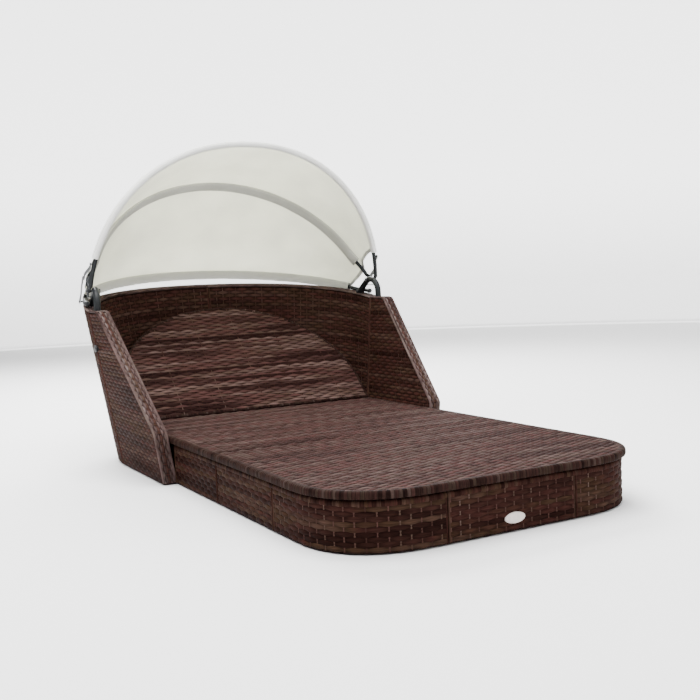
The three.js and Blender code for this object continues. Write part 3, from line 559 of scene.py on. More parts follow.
def wave_rows(bag, S, rows, rib, amp, half, lift, crown=0.0008, step=4, tips=0.012, row0=0, n_across=5, shift=0.0, wide=0.18, droop=0.0010):
    """Strands that run along u, over and under ribs spaced rib apart. rows lists (v, u_start, u_end)."""
    t = np.linspace(-1, 1, n_across)
    for j, (v, a, b) in enumerate(rows):
        if b - a < rib:
            continue
        n = max(5, int(round((b - a) / (rib / step))) + 1)
        u = np.linspace(a, b, n)
        c = np.cos(np.pi * ((u - shift) / rib + j))
        h = amp * c
        w = half * (1 + wide * c)
        # strands turn inwards at their ends
        e = np.minimum(u - a, b - u)
        fade = np.clip(e / tips, 0, 1) if tips else np.ones_like(u)
        U, T = np.meshgrid(u, t, indexing="ij")
        wob = 0.07 * half * np.sin(u * 37.0 + j * 1.7) + 0.05 * half * np.sin(u * 11.0 + j * 4.1)
        P, N = S(U, v + T * w[:, None] + wob[:, None])
        H = (lift + h)[:, None] + crown * (1 - T ** 2) - droop * np.abs(T) ** 6
        H = H * fade[:, None] + (1 - fade[:, None]) * (lift - amp)
        P = P + N * H[..., None]
        st = np.zeros(P.shape)
        st[..., 0] = U
        st[..., 1] = (row0 + j + 0.45 * (0.5 - 0.5 * c))[:, None]
        st[..., 2] = T
        bag.grid(P, st)


def ribs(bag, S, us, v0, v1, half, lift, row0=500, n=None, crown=0.0005, dv=0.03):
    """Upright ribs that show between the strands. v0 and v1 may be functions of u."""
    t = np.linspace(-1, 1, 3)
    for j, u in enumerate(us):
        a = v0(u) if callable(v0) else v0
        b = v1(u) if callable(v1) else v1
        if b - a < 0.01:
            continue
        k = n or max(2, int((b - a) / dv) + 1)
        v = np.linspace(a, b, k)
        Vv, T = np.meshgrid(v, t, indexing="ij")
        P, N = S(u + T * half, Vv)
        P = P + N * (lift + crown * (1 - T ** 2))[..., None]
        st = np.zeros(P.shape)
        st[..., 0] = Vv
        st[..., 1] = row0 + j
        st[..., 2] = T
        bag.grid(P, st)


def wraps(bag, P, OUT, UP, profile, pitch, bump=0.0009, row0=900, per=4):
    """Strands wound side by side round an edge. profile lists (out, up) from the edge line P."""
    P, t = resample(P, step=pitch / per)
    src = np.linspace(0, 1, len(OUT))
    dst = np.linspace(0, 1, len(P))
    O = np.stack([np.interp(dst, src, OUT[:, k]) for k in range(3)], -1)
    U = np.stack([np.interp(dst, src, UP[:, k]) for k in range(3)], -1)
    O /= np.linalg.norm(O, axis=1, keepdims=True)
    prof = np.array(profile)
    d = np.gradient(prof, axis=0)
    nrm = np.stack([-d[:, 1], d[:, 0]], -1)
    nrm /= np.linalg.norm(nrm, axis=1, keepdims=True)
    if (nrm * (prof - prof.mean(0))).sum() < 0:
        nrm = -nrm
    k = np.arange(len(P))
    wrap = k // per
    lift = bump * np.sin(np.pi * (k % per) / per) ** 0.7
    rnd = RNG.uniform(-0.25, 0.35, wrap.max() + 2) * bump
    lift = lift + rnd[wrap]
    pr = prof[None] + nrm[None] * lift[:, None, None]
    G = P[:, None] + O[:, None] * pr[..., :1] + U[:, None] * pr[..., 1:]
    a = np.linalg.norm(np.diff(prof, axis=0), axis=1).cumsum()
    st = np.zeros(G.shape)
    st[..., 0] = np.concatenate([[0], a])[None] + wrap[:, None] * 0.37
    st[..., 1] = row0 + wrap[:, None]
    st[..., 2] = (2.0 * (k % per) / per - 1)[:, None] * 0.75
    bag.grid(G, st)


def both_sides(make):
    """Builds the +X piece and its mirror image."""
    for side, m in (("right", 1.0), ("left", -1.0)):
        make(side, m)


def mirrored(S, m):
    if m > 0:
        return S

    def T(u, v):
        P, N = S(u, v)
        P, N = P.copy(), N.copy()
        P[..., 0] *= -1
        N[..., 0] *= -1
        return P, N
    return T


# ------------------------------------------------------------------ skirt
HALF, CR, CN, FOOT = 0.456, 0.252, 2.5, -0.0185


def foot_path(off, end=1.60):
    """Plan of the base on the +X side, from the middle of the foot end round the corner and back along the side."""
    ph = np.linspace(math.pi / 2, 0, 121)
    t = np.where(ph > math.pi / 2 - 1e-9, math.pi / 2, np.arctan(np.tan(np.minimum(ph, math.pi / 2 - 1e-9)) ** (1 / (2 - 2 / CN))))
    x = HALF - CR + CR * np.maximum(np.cos(t), 0) ** (2 / CN) + off * np.cos(ph)
    y = FOOT + CR - CR * np.maximum(np.sin(t), 0) ** (2 / CN) - off * np.sin(ph)
    x = np.concatenate([[0.0], x, [HALF + off]])
    y = np.concatenate([[FOOT - off], y, [end]])
    ph = np.concatenate([[math.pi / 2], ph, [0.0]])
    d = np.concatenate([[0], np.cumsum(np.hypot(np.diff(x), np.diff(y)))])
    return d, x, y, ph


PATH = foot_path(0.0)
S2 = PATH[0][-2]


def side_s(y):
    """Distance along the skirt of a place y on its straight side."""
    return S2 + (y - (FOOT + CR))


def skirt(s, z):
    s, z = np.broadcast_arrays(np.asarray(s, float), np.asarray(z, float))
    d, px, py, ph = PATH
    a = np.abs(s)
    x, y, q = np.interp(a, d, px), np.interp(a, d, py), np.interp(a, d, ph)
    P = np.stack([np.sign(s) * x, y, z], -1)
    N = np.stack([np.sign(s) * np.cos(q), -np.sin(q), np.zeros_like(x)], -1)
    return P, N


Z0, Z1 = 0.0065, 0.1105
ROW = 0.0121
RIB = 0.0256


def skirt_piece(name, a, b, cover):
    bag, rbag = Bag(), Bag()
    n = int(round((Z1 - Z0) / ROW))
    p = (Z1 - Z0) / n
    rows = [(Z0 + (j + 0.5) * p, a, b) for j in range(n)]
    wave_rows(bag, skirt, rows, RIB, 0.0009, 0.490 * p, 0.0018, tips=0.006, row0=RNG.randint(0, 400), step=6, wide=0.14)
    k = np.arange(math.ceil((a + 0.006) / RIB), math.floor((b - 0.006) / RIB) + 1)
    ribs(rbag, skirt, k * RIB, Z0, Z1, 0.0024, 0.0014, n=5)
    s = np.linspace(a, b, 120)
    P, N = skirt(s, 0.121)
    UPv = np.tile(arr(0, 0, 1), (len(s), 1))
    wraps(bag, P, N, UPv, [(-0.013, 0.0), (-0.010, 0.0028), (-0.003, 0.003), (0.0018, 0.0008), (0.0036, -0.0040), (0.0030, -0.0085), (0.0008, -0.0112)],
          0.0094, bump=0.0006, row0=RNG.randint(900, 1500))
    # end strands, standing upright at the seams
    for u in (a + 0.0026, b - 0.0026):
        q, N = skirt(np.full(12, u), np.linspace(0.005, 0.1115, 12))
        sweep(bag, q + N * 0.0012, 0.0024, 0.0019, A=N, sides=10, row=RNG.randint(100, 900), cap=False)
    me = bag.mesh("weave_" + name)
    add("weave_" + name, me, WEAVE_SKIRT, "daybed")
    add("ribs_" + name, rbag.mesh("ribs_" + name), WEAVE_RIB, "daybed")


skirt_piece("skirt_front", -0.1861, 0.1861, None)
for side, m in (("right", 1), ("left", -1)):
    for nm, a, b in (("skirt_corner_", 0.1879, side_s(0.3501)), ("skirt_side_front_", side_s(0.3519), side_s(0.7391)), ("skirt_side_rear_", side_s(0.7409), side_s(1.108))):
        lo, hi = (a, b) if m > 0 else (-b, -a)
        skirt_piece(nm + side, lo, hi, None)

# blank oval plate
def badge():
    bm = bmesh.new()
    rings = [(0.0, 0.0013), (0.70, 0.0015), (0.86, 0.0016), (0.90, 0.0022), (0.97, 0.0022), (1.0, 0.0015), (1.0, -0.0022)]
    n = 64
    prev = None
    c = bm.verts.new((0, FOOT - 0.0024 - rings[0][1], 0.036))
    for k, (f, h) in enumerate(rings[1:]):
        ring = [bm.verts.new((0.0295 * f * math.cos(2 * math.pi * i / n), FOOT - 0.0024 - h, 0.036 + 0.0135 * f * math.sin(2 * math.pi * i / n))) for i in range(n)]
        for i in range(n):
            j = (i + 1) % n
            if prev is None:
                bm.faces.new((c, ring[i], ring[j]))
            else:
                bm.faces.new((prev[i], ring[i], ring[j], prev[j]))
        prev = ring
    for f in bm.faces:
        f.smooth = True
    bmesh.ops.recalc_face_normals(bm, faces=bm.faces)
    me = bpy.data.meshes.new("badge_plain")
    for v in bm.verts:
        v.co.y -= SH
    bm.to_mesh(me)
    bm.free()
    add("badge_plain", me, PLATE, "daybed", ("badge_plate",))


badge()

# ------------------------------------------------------------------ decks
DPATH = foot_path(0.011)
DH = HALF + 0.011
DZ = 0.1446


def deck_half(y):
    d, px, py, ph = DPATH
    return np.interp(y, py[1:], px[1:])


def deck_start(x):
    """Where the deck begins, for a place x across it."""
    d, px, py, ph = DPATH
    return np.interp(abs(x), px[:-1], py[:-1])


def deck(x, y):
    x, y = np.broadcast_arrays(np.asarray(x, float), np.asarray(y, float))
    return np.stack([x, y, np.full(x.shape, DZ)], -1), np.stack([0 * x, 0 * x, 0 * x + 1], -1)


DP = 0.0110


def deck_piece(name, y0, y1, outline, close):
    bag, rbag = Bag(), Bag()
    rows, y = [], y0 + 0.5 * DP
    while y < y1 - 0.3 * DP:
        w = deck_half(y) - 0.010
        if y > FOOT - 0.011 + 0.0105:
            rows.append((y, -w, w))
        y += DP
    wave_rows(bag, deck, rows, RIB, 0.0013, 0.435 * DP, 0.0008, crown=0.0009, step=6, tips=0.0, n_across=5, row0=RNG.randint(0, 300), shift=0.0, wide=0.20, droop=0.0012)
    xs = np.arange(-math.floor((DH - 0.012) / RIB), math.floor((DH - 0.012) / RIB) + 1) * RIB
    ribs(rbag, lambda u, v: deck(u, v), xs, lambda x: y0 if y0 > 0.1 else float(deck_start(x)) + 0.011, y1, 0.0022, 0.0004, dv=0.05)
    E = np.array(outline)
    prof = [(-0.0165, 0.0010), (-0.010, 0.0021), (-0.003, 0.0022), (0.0008, 0.0004), (0.0024, -0.0035), (0.0026, -0.0120), (0.0008, -0.0156), (-0.008, -0.0166)]
    wbag = Bag()
    for seg in ([E] if not isinstance(outline[0][0], (list, tuple, np.ndarray)) else outline):
        seg = np.asarray(seg, float)
        T = np.gradient(seg, axis=0)
        T /= np.linalg.norm(T, axis=1, keepdims=True)
        OUT = np.cross(T, arr(0, 0, 1))
        wraps(wbag, seg, OUT, np.tile(arr(0, 0, 1), (len(seg), 1)), prof, 0.0095, bump=0.0008, row0=RNG.randint(900, 1500))
    # rims and cross ribs carry the darker rim colour: painted shade
    add("rim_" + name, wbag.mesh("rim_" + name), WEAVE_RIM_PAINTED_SHADE, "daybed")
    add("weave_" + name, bag.mesh("weave_" + name), WEAVE_DECK, "daybed")
    add("cross_" + name, rbag.mesh("cross_" + name), WEAVE_RIM_PAINTED_SHADE, "daybed")


def deck_outline():
    d, px, py, ph = DPATH
    q = np.linspace(0, d[-2] + (0.7385 - py[-2]), 400)
    x, y = np.interp(q, d, px), np.interp(q, d, py)
    R = np.stack([x, y, np.full_like(x, DZ)], -1)
    return np.vstack([(R * arr(-1, 1, 1))[::-1], R[1:]])


deck_piece("deck_front", FOOT - 0.0105, 0.7385, deck_outline(), False)
deck_piece("deck_rear", 0.7420, 1.5370, [np.array([[-DH, y, DZ] for y in np.linspace(1.537, 0.742, 30)]), np.array([[DH, y, DZ] for y in np.linspace(0.742, 1.537, 30)])], False)

# ------------------------------------------------------------------ walls
WIN, WT, FL = 0.4568, 0.039, 0.14
K0, KK, R0, RK = 1.553, 0.115, 1.980, 0.12
TOPZ, LOWZ, FRONT, TOPY = 0.534, 0.160, 1.109, 1.515
NX = arr(1, 0, -FL) / math.hypot(1, FL)


def front_y(z):
    return FRONT + np.clip((z - LOWZ) / (TOPZ - LOWZ), 0, 1) * (TOPY - FRONT)


def side_face(outer):
    x0, sgn = (WIN + WT, 1.0) if outer else (WIN, -1.0)

    def S(y, z):
        y, z = np.broadcast_arrays(np.asarray(y, float), np.asarray(z, float))
        P = np.stack([x0 + FL * z, y, z], -1)
        return P, np.broadcast_to(NX * sgn, P.shape).copy()
    return S


def back_face(outer):
    sgn = 1.0 if outer else -1.0
    ff = np.linspace(0, math.pi / 2, 2400)

    def raw(f, g):
        C = np.maximum(np.cos(f), 0) ** (2 / 2.2)
        Sn = np.maximum(np.sin(f), 0) ** (2 / 2.2)
        ry = R0 - (0 if outer else WT)
        a, b = K0 * (1 - Sn) + ry * Sn, KK * (1 - Sn) + RK * Sn
        top = (TOPZ + 0.17 * (a - (K0 + KK * TOPZ))) / (1 - 0.17 * b)
        z = 0.003 + g * (top - 0.003)
        half = (WIN + WT if outer else WIN) + FL * z
        return np.stack([half * C, a + b * z, z], -1)
    mid = raw(ff, np.full(ff.shape, 0.6))
    L = np.concatenate([[0], np.cumsum(np.linalg.norm(np.diff(mid, axis=0), axis=1))])

    def S(u, g):
        u, g = np.broadcast_arrays(np.asarray(u, float), np.asarray(g, float))
        f = np.interp(u, L, ff)
        e = 2e-3
        P = raw(f, g)
        du = raw(np.clip(f + e, 0, math.pi / 2), g) - raw(np.clip(f - e, 0, math.pi / 2), g)
        dg = raw(f, g + e) - raw(f, g - e)
        N = np.cross(du, dg)
        N /= np.linalg.norm(N, axis=-1, keepdims=True) + 1e-12
        flip = (N[..., 0] * P[..., 0] + N[..., 1] * (P[..., 1] - 1.6)) < 0
        N = np.where(flip[..., None], -N, N) * sgn
        return P, N
    return S, L[-1]


def wall_side(side, m):
    bag, rbag = Bag(), Bag()
    for outer in (True, False):
        S = mirrored(side_face(outer), m)
        zlow = 0.005 if outer else 0.118
        n = int(round((TOPZ - 0.006 - zlow) / ROW))
        rows = []
        for j in range(n):
            z = zlow + (j + 0.5) * (TOPZ - 0.006 - zlow) / n
            rows.append((z, float(front_y(z)) + 0.006, K0 + KK * z - 0.003))
        wave_rows(bag, S, rows, RIB, 0.0009, 0.0055, 0.0018, tips=0.006, row0=RNG.randint(0, 400), step=4, n_across=4, wide=0.14)
        us = np.arange(math.ceil(FRONT / RIB), math.floor((K0 + KK * TOPZ) / RIB) + 1) * RIB

        def vtop(y):
            return TOPZ - 0.006 if y >= TOPY else max(LOWZ, LOWZ + (y - FRONT) / (TOPY - FRONT) * (TOPZ - LOWZ) - 0.006)

        def vlow(y, zlow=zlow):
            return max(zlow, (y - K0) / KK if y > K0 else zlow)
        ribs(rbag, S, us, vlow, vtop, 0.0024, 0.0014, dv=0.06)
        # upright strand at the joint with the back panel
        z = np.linspace(max(zlow, 0.01), TOPZ, 24)
        P, N = S(K0 + KK * z - 0.0035, z)
        sweep(bag, P + N * 0.0012, 0.0026, 0.003, A=N, sides=8, row=RNG.randint(100, 900), cap=False)
    # edge faces: level top, slope, upright front; each carries strands that run along it
    path = [(1.6135, TOPZ), (TOPY + 0.012, TOPZ), (TOPY - 0.004, TOPZ - 0.0035), (FRONT + 0.0022, LOWZ + 0.003), (FRONT, LOWZ - 0.006), (FRONT, 0.006)]
    p3 = np.array([[0.0, y, z] for y, z in path])
    dense, t = resample(p3, step=0.004)
    for _ in range(3):
        dense[1:-1] = 0.25 * dense[:-2] + 0.5 * dense[1:-1] + 0.25 * dense[2:]
    T = np.gradient(dense, axis=0)
    T /= np.linalg.norm(T, axis=1, keepdims=True)
    ON = np.stack([0 * T[:, 0], T[:, 2], -T[:, 1]], -1)
    if ON[0, 2] < 0:
        ON = -ON
    tt = t.copy()

    def E(u, w):
        u, w = np.broadcast_arrays(np.asarray(u, float), np.asarray(w, float))
        y, z = np.interp(u, tt, dense[:, 1]), np.interp(u, tt, dense[:, 2])
        ny, nz = np.interp(u, tt, ON[:, 1]), np.interp(u, tt, ON[:, 2])
        x = WIN + FL * z + w
        return np.stack([m * x, y, z], -1), np.stack([0 * x, ny, nz], -1)
    rows = [(w, 0.0, float(tt[-1])) for w in (0.0058, 0.0126, 0.0264, 0.0332)]
    ebag = Bag()
    wave_rows(ebag, E, rows, 0.0165, 0.0013, 0.0031, 0.0018, tips=0.0, row0=RNG.randint(0, 400), n_across=5, crown=0.0010, wide=0.26, step=5)
    ribs(rbag, E, np.arange(1, int(tt[-1] / 0.0165)) * 0.0165, 0.001, WT - 0.001, 0.0022, 0.0012, n=5)
    # painted shade: a strand in the darker rib colour at the bottom of the groove between the two strips
    groove_shade_bag = Bag()
    wave_rows(groove_shade_bag, E, [(0.0195, 0.0, float(tt[-1]))], 0.0165, 0.0006, 0.0042, 0.0012, tips=0.0, row0=RNG.randint(0, 400), n_across=5, crown=0.0006, wide=0.10, step=5)
    for w, off in ((0.0006, 1), (WT - 0.0006, 1)):
        P, N = E(tt, np.full(tt.shape, w))
        P = P + N * 0.0006
        sweep(ebag, P, 0.0036, 0.0036, A=N, sides=10, row=RNG.randint(100, 900), cap=False)
    add("weave_side_panel_" + side, bag.mesh("weave_side_panel_" + side), WEAVE, "daybed")
    add("ribs_side_panel_" + side, rbag.mesh("ribs_side_panel_" + side), WEAVE, "daybed")
    add("groove_shade_side_panel_" + side, groove_shade_bag.mesh("groove_shade_side_panel_" + side), WEAVE_RIB, "daybed")
    add("edge_side_panel_" + side, ebag.mesh("edge_side_panel_" + side), WEAVE_EDGE_PAINTED_LIGHT, "daybed")


def wall_back(side, m):
    bag, rbag = Bag(), Bag()
    for outer in (True, False):
        S0, length = back_face(outer)
        S = mirrored(S0, m)
        glow = 0.005 if outer else 0.10
        g0, g1 = glow, 0.988
        n = int(round((g1 - g0) * 0.57 / ROW))
        rows = [(g0 + (j + 0.5) * (g1 - g0) / n, 0.003, length - 0.003) for j in range(n)]
        half = 0.46 * (g1 - g0) / n
        wave_rows(bag, S, rows, RIB, 0.0009, half * 0.98, 0.0018 if outer else 0.0023, tips=0.006, row0=RNG.randint(0, 400), n_across=4, wide=0.14)
        us = np.arange(1, math.floor(length / RIB) + 1) * RIB
        ribs(rbag, S, us, g0, g1, 0.0024, 0.0014 if outer else 0.0019, n=4)
        for u in (0.003, length - 0.0032):
            P, N = S(np.full(24, u), np.linspace(g0, 0.995, 24))
            sweep(bag, P + N * 0.0014, 0.0026, 0.003, A=N, sides=8, row=RNG.randint(100, 900), cap=False)
    # rim round the top: strands along it, and a binding strand on each corner
    So, lo = back_face(True)
    Si, li = back_face(False)
    a = np.linspace(0.0, 1.0, 160)
    Po, _ = mirrored(So, m)(a * lo, np.full(a.shape, 1.0))
    Pi, _ = mirrored(Si, m)(a * li, np.full(a.shape, 1.0))
    cen = 0.5 * (Po + Pi)
    d = np.concatenate([[0], np.cumsum(np.linalg.norm(np.diff(cen, axis=0), axis=1))])

    def E(u, w):
        u, w = np.broadcast_arrays(np.asarray(u, float), np.asarray(w, float))
        q = np.interp(u, d, a)
        A = np.stack([np.interp(q, a, Po[:, k]) for k in range(3)], -1)
        B = np.stack([np.interp(q, a, Pi[:, k]) for k in range(3)], -1)
        P = B + (A - B) * w[..., None]
        return P, np.broadcast_to(arr(0, -0.16, 0.987), P.shape).copy()
    k = 5
    rows = [((j + 0.5) / k, 0.0, float(d[-1]) - 0.001) for j in range(k)]
    ebag = Bag()
    wave_rows(ebag, E, rows, 0.024, 0.0010, 0.094, 0.0015, tips=0.0, row0=RNG.randint(0, 400), n_across=5, crown=0.0009)
    for w in (0.015, 0.985):
        P, N = E(d, np.full(d.shape, w))
        sweep(ebag, P + N * 0.0004, 0.0036, 0.0036, A=N, sides=10, row=RNG.randint(100, 900), cap=False)
    add("weave_back_panel_" + side, bag.mesh("weave_back_panel_" + side), WEAVE, "daybed")
    add("ribs_back_panel_" + side, rbag.mesh("ribs_back_panel_" + side), WEAVE, "daybed")
    add("edge_back_panel_" + side, ebag.mesh("edge_back_panel_" + side), WEAVE_EDGE_PAINTED_LIGHT, "daybed")


both_sides(wall_side)
both_sides(wall_back)

# ------------------------------------------------------------------ backrest
BA = math.radians(43.5)
BC, BS = math.cos(BA), math.sin(BA)
HIN_S, HIN_T = 0.012, -0.0245
HY, HZ = 1.545 + HIN_S * BC - HIN_T * BS, DZ + HIN_S * BS + HIN_T * BC


def br_half(s):
    return 0.468 * np.sqrt(np.clip(1 - (np.clip(s - 0.100, 0, None) / 0.437) ** 2, 0, 1))


def br_face(top):
    t = -HIN_T if top else -HIN_T - 0.016
    sgn = 1.0 if top else -1.0

    def S(x, s):
        x, s = np.broadcast_arrays(np.asarray(x, float), np.asarray(s, float))
        q = s - HIN_S
        P = np.stack([x, HY + q * BC - t * BS, HZ + q * BS + t * BC], -1)
        return P, np.broadcast_to(arr(0, -BS, BC) * sgn, P.shape).copy()
    return S


def backrest():
    bag, rbag, lbag, wbag = Bag(), Bag(), Bag(), Bag()
    BP = 0.0109
    for top in (True, False):
        S = br_face(top)
        rows, s = [], 0.012 + 0.5 * BP
        while s < 0.529:
            w = float(br_half(s)) - 0.007
            if w > 0.05:
                rows.append((s, -w, w))
            s += BP
        wave_rows(bag, S, rows, 0.0315, 0.0016, 0.43 * BP, 0.0020, tips=0.004, row0=RNG.randint(0, 400), step=6 if top else 2, n_across=5 if top else 3, wide=0.26, crown=0.0012, shift=0.0095)
        us = np.arange(-14, 15) * 0.0315 + 0.0095

        def vt(x):
            return 0.100 + 0.437 * math.sqrt(max(0, 1 - (x / 0.468) ** 2)) - 0.008
        ribs(rbag, S, us, 0.012, vt, 0.0020, 0.0008, dv=0.08)
        if top:
            ribs(lbag, S, us[(np.arange(len(us)) % 5) == 0], 0.012, vt, 0.0017, 0.0024, dv=0.08)
    # border wound round the tube at the panel's rim
    q = [[0.468, s] for s in np.linspace(0.006, 0.095, 16)] + [[0.468 * math.cos(t), 0.100 + 0.437 * math.sin(t)] for t in np.linspace(0, math.pi, 240)] + [[-0.468, s] for s in np.linspace(0.095, 0.006, 16)]
    q = np.array(q)
    P, N = br_face(True)(q[:, 0], q[:, 1])
    T = np.gradient(P, axis=0)
    T /= np.linalg.norm(T, axis=1, keepdims=True)
    OUT = np.cross(T, N)
    prof = [(-0.011, 0.0012), (-0.006, 0.0024), (-0.001, 0.0016), (0.0014, -0.003), (0.0016, -0.010), (0.0, -0.0165), (-0.006, -0.0180), (-0.011, -0.0172)]
    wraps(wbag, P, OUT, N, prof, 0.0092, bump=0.0007, row0=1200)
    # lower edge
    x = np.linspace(-0.462, 0.462, 60)
    P, N = br_face(True)(x, np.full(x.shape, 0.0075))
    OUT = np.tile(arr(0, -BC, -BS), (60, 1))
    wraps(wbag, P, OUT, N, [(-0.009, 0.001), (-0.004, 0.0022), (0.0008, 0.001), (0.0022, -0.004), (0.002, -0.012), (0, -0.0165), (-0.008, -0.0175)], 0.0092, bump=0.0006, row0=1700)
    add("weave_backrest", bag.mesh("weave_backrest"), WEAVE_PANEL, "backrest")
    add("border_backrest", wbag.mesh("border_backrest"), WEAVE_RIM_PAINTED_SHADE, "backrest")
    add("ribs_backrest", rbag.mesh("ribs_backrest"), WEAVE_SKIRT, "backrest")
    add("ribs_light_backrest", lbag.mesh("ribs_light_backrest"), WEAVE_RIB, "backrest")


backrest()

# the CAD solids under the weave take the core's near-black painted shade
for n in ("deck_front", "deck_rear", "skirt_front", "skirt_corner_right", "skirt_corner_left", "skirt_side_front_right", "skirt_side_front_left",
          "skirt_side_rear_right", "skirt_side_rear_left", "side_panel_right", "side_panel_left", "back_panel_right", "back_panel_left", "backrest_panel"):
    me = NODES[n].data
    me.materials.clear()
    me.materials.append(CORE_PAINTED_SHADE)

# ------------------------------------------------------------------ base hardware
for n in ("front_frame", "rear_frame", "back_joining_plate", "hinge_bracket_right", "hinge_bracket_left"):
    refine(n, STEEL, 0.0012)
refine("backrest_frame", STEEL, 0.0016)
for n in ("module_link_right", "module_link_left", "notch_rail_right", "notch_rail_left"):
    refine(n, ZINC, 0.0006)
for n in ("foot_front_left", "foot_front_right", "foot_middle_left", "foot_middle_right", "foot_seat_left", "foot_seat_right", "foot_hinge_left", "foot_hinge_right", "foot_rear_left", "foot_rear_right"):
    refine(n, BLACK, 0.0006)


def rod(name, parts, material, body, replaces, sides=20):
    bag = Bag()
    for P, r in parts:
        P = np.asarray(P, float)
        d = (P[-1] - P[0]) / np.linalg.norm(P[-1] - P[0])
        # small chamfer at each end
        e = min(0.0008, r * 0.3)
        Q = np.vstack([P[0], P[0] + d * e, P[-1] - d * e, P[-1]]) if len(P) == 2 else P
        ra = [r - e, r, r, r - e] if len(P) == 2 else r
        sweep(bag, Q, ra, sides=sides)
    me = bag.mesh(name)
    me.set_sharp_from_angle(angle=math.radians(40))
    return add(name, me, material, body, replaces)


rod("hinge_rod_round", [([[-0.322, HY, HZ], [0.322, HY, HZ]], 0.005)], ZINC, "daybed", ("hinge_rod",))
PY, PZ = HY + 0.22 * BC, HZ + 0.22 * BS
FY, FZ = HY + 0.44 * BC, HZ
rod("prop_bars", [([[-0.128, PY, PZ], [0.128, PY, PZ]], 0.005), ([[-0.128, FY, FZ], [0.128, FY, FZ]], 0.006),
                  ([[0.104, PY, PZ], [0.104, FY, FZ]], 0.005), ([[-0.104, PY, PZ], [-0.104, FY, FZ]], 0.005)], ZINC, "prop", ("backrest_prop",))

# ------------------------------------------------------------------ canopy bows
BY, BZ = 1.6347, 0.5428
BOW = {
    "front": dict(a=0.5636, b=0.5778, n=2.12, t=math.radians(103.0)),
    "middle": dict(a=0.545, b=0.5206, n=2.009, t=math.radians(60.1), flare=0.018),
    "rear": dict(a=0.5636, b=0.5299, n=2.061, t=math.radians(11.8)),
}
HUB = arr(0, 1.638, 0.606)
BR = 0.0075


def bow(k, f, grow=0.0):
    """Point of a bow at angle f; grow moves it outwards in the bow's plane."""
    b = BOW[k]
    f = np.asarray(f, float)
    c, s = np.cos(f), np.maximum(np.sin(f), 0)
    r = b["b"] * s ** (2 / b["n"])
    w = np.clip((r - 0.098) / 0.096, 0, 1)
    x = np.sign(c) * (b["a"] * np.abs(c) ** (2 / b["n"]) + b.get("flare", 0.0) * (1 - w * w * (3 - 2 * w)))
    return np.stack([x, BY + r * math.cos(b["t"]), BZ + r * math.sin(b["t"])], -1)


def phi(k, s):
    return math.asin((s / BOW[k]["b"]) ** (BOW[k]["n"] / 2))


def bow_run(k, s0, n=160):
    """Even points along a bow from s0 on the +X side to s0 on the -X side."""
    f0 = phi(k, s0)
    P = bow(k, np.linspace(f0, math.pi - f0, 900))
    return resample(P, n=n)[0]


def plane_normal(k):
    t = BOW[k]["t"]
    return arr(0, -math.sin(t), math.cos(t))


def moving_bow(k, s0, flat_to, x_tab, body, cad, fade):
    """Round tube whose ends are pressed flat and turn on the hub bolt."""
    bag = Bag()
    mid = bow_run(k, s0, 170)
    start = mid[0]
    hub = arr(x_tab, HUB[1], HUB[2])
    d = start - hub
    d[0] = 0
    d /= np.linalg.norm(d)
    tip = hub - d * 0.0072
    n = 26
    line = np.linspace(0, 1, n)[:, None]
    aim = start.copy()
    seg = tip * (1 - line) + aim * line
    # keep the tab straight, at its own distance from the middle, then run into the tube
    u = np.linalg.norm(seg - tip, axis=1)
    L = u[-1]
    w = np.clip((u - 0.030) / (L - 0.030), 0, 1)
    w = w * w * (3 - 2 * w)
    seg[:, 0] = x_tab + (start[0] - x_tab) * w
    full = np.vstack([seg[:-1], mid, (seg[:-1] * arr(-1, 1, 1))[::-1]])
    dist = np.concatenate([u[:-1], np.full(len(mid), 1.0), u[:-1][::-1]])
    flat = np.clip(1 - (dist - flat_to) / fade, 0, 1)
    flat = flat * flat * (3 - 2 * flat)
    rx = BR * (1 - flat) + 0.0017 * flat
    ry = BR * (1 - flat) + 0.0084 * flat
    end = np.clip(dist / 0.0072, 0, 1)
    ry = ry * np.where(dist < 0.0072, np.sqrt(np.clip(1 - (1 - end) ** 2, 0.02, 1)), 1)
    # half width across: along the outward direction in the bow's plane near the tab it is X
    Xn = np.tile(arr(1, 0, 0), (len(full), 1))
    N = plane_normal(k)
    T = np.gradient(full, axis=0)
    T /= np.linalg.norm(T, axis=1, keepdims=True)
    A = np.cross(T, np.tile(N, (len(full), 1)))
    A /= np.linalg.norm(A, axis=1, keepdims=True)
    sweep(bag, full, rx, ry, A=A, sides=20, power=2.0)
    me = bag.mesh(k + "_bow_tube")
    add(k + "_bow_tube", me, STEEL, body, (cad,))


moving_bow("front", 0.080, 0.014, 0.5617, "front_bow", "front_bow", 0.020)
moving_bow("middle", 0.098, 0.034, 0.5581, "mid_bow", "middle_bow", 0.030)


def rear_bow():
    bag = Bag()
    mid = bow_run("rear", 0.187, 170)
    ends = catmull([[0.5612, 1.676, 0.5611], [0.560, 1.695, 0.563], [0.551, 1.752, 0.569], list(mid[0])], 9)
    full = np.vstack([ends[:-1], mid, (ends[:-1] * arr(-1, 1, 1))[::-1]])
    sweep(bag, full, BR, sides=20)
    add("rear_bow_tube", bag.mesh("rear_bow_tube"), STEEL, "daybed", ("rear_bow",))
    for side, m in (("right", 1), ("left", -1)):
        bag = Bag()
        a, b = arr(m * 0.5616, 1.6694, 0.5604), arr(m * 0.5608, 1.682, 0.5617)
        d = (b - a) / np.linalg.norm(b - a)
        P = np.array([a - d * 0.0012, a - d * 0.0008, a + d * 0.0010, a + d * 0.0030, b - d * 0.001, b, b + d * 0.0002])
        sweep(bag, P, [0.0035, 0.0074, 0.0091, 0.0095, 0.0095, 0.0091, 0.0079], sides=24)
        add("bow_cap_round_" + side, bag.mesh("bow_cap_round_" + side), BLACK, "daybed", ("bow_cap_" + side,))


rear_bow()

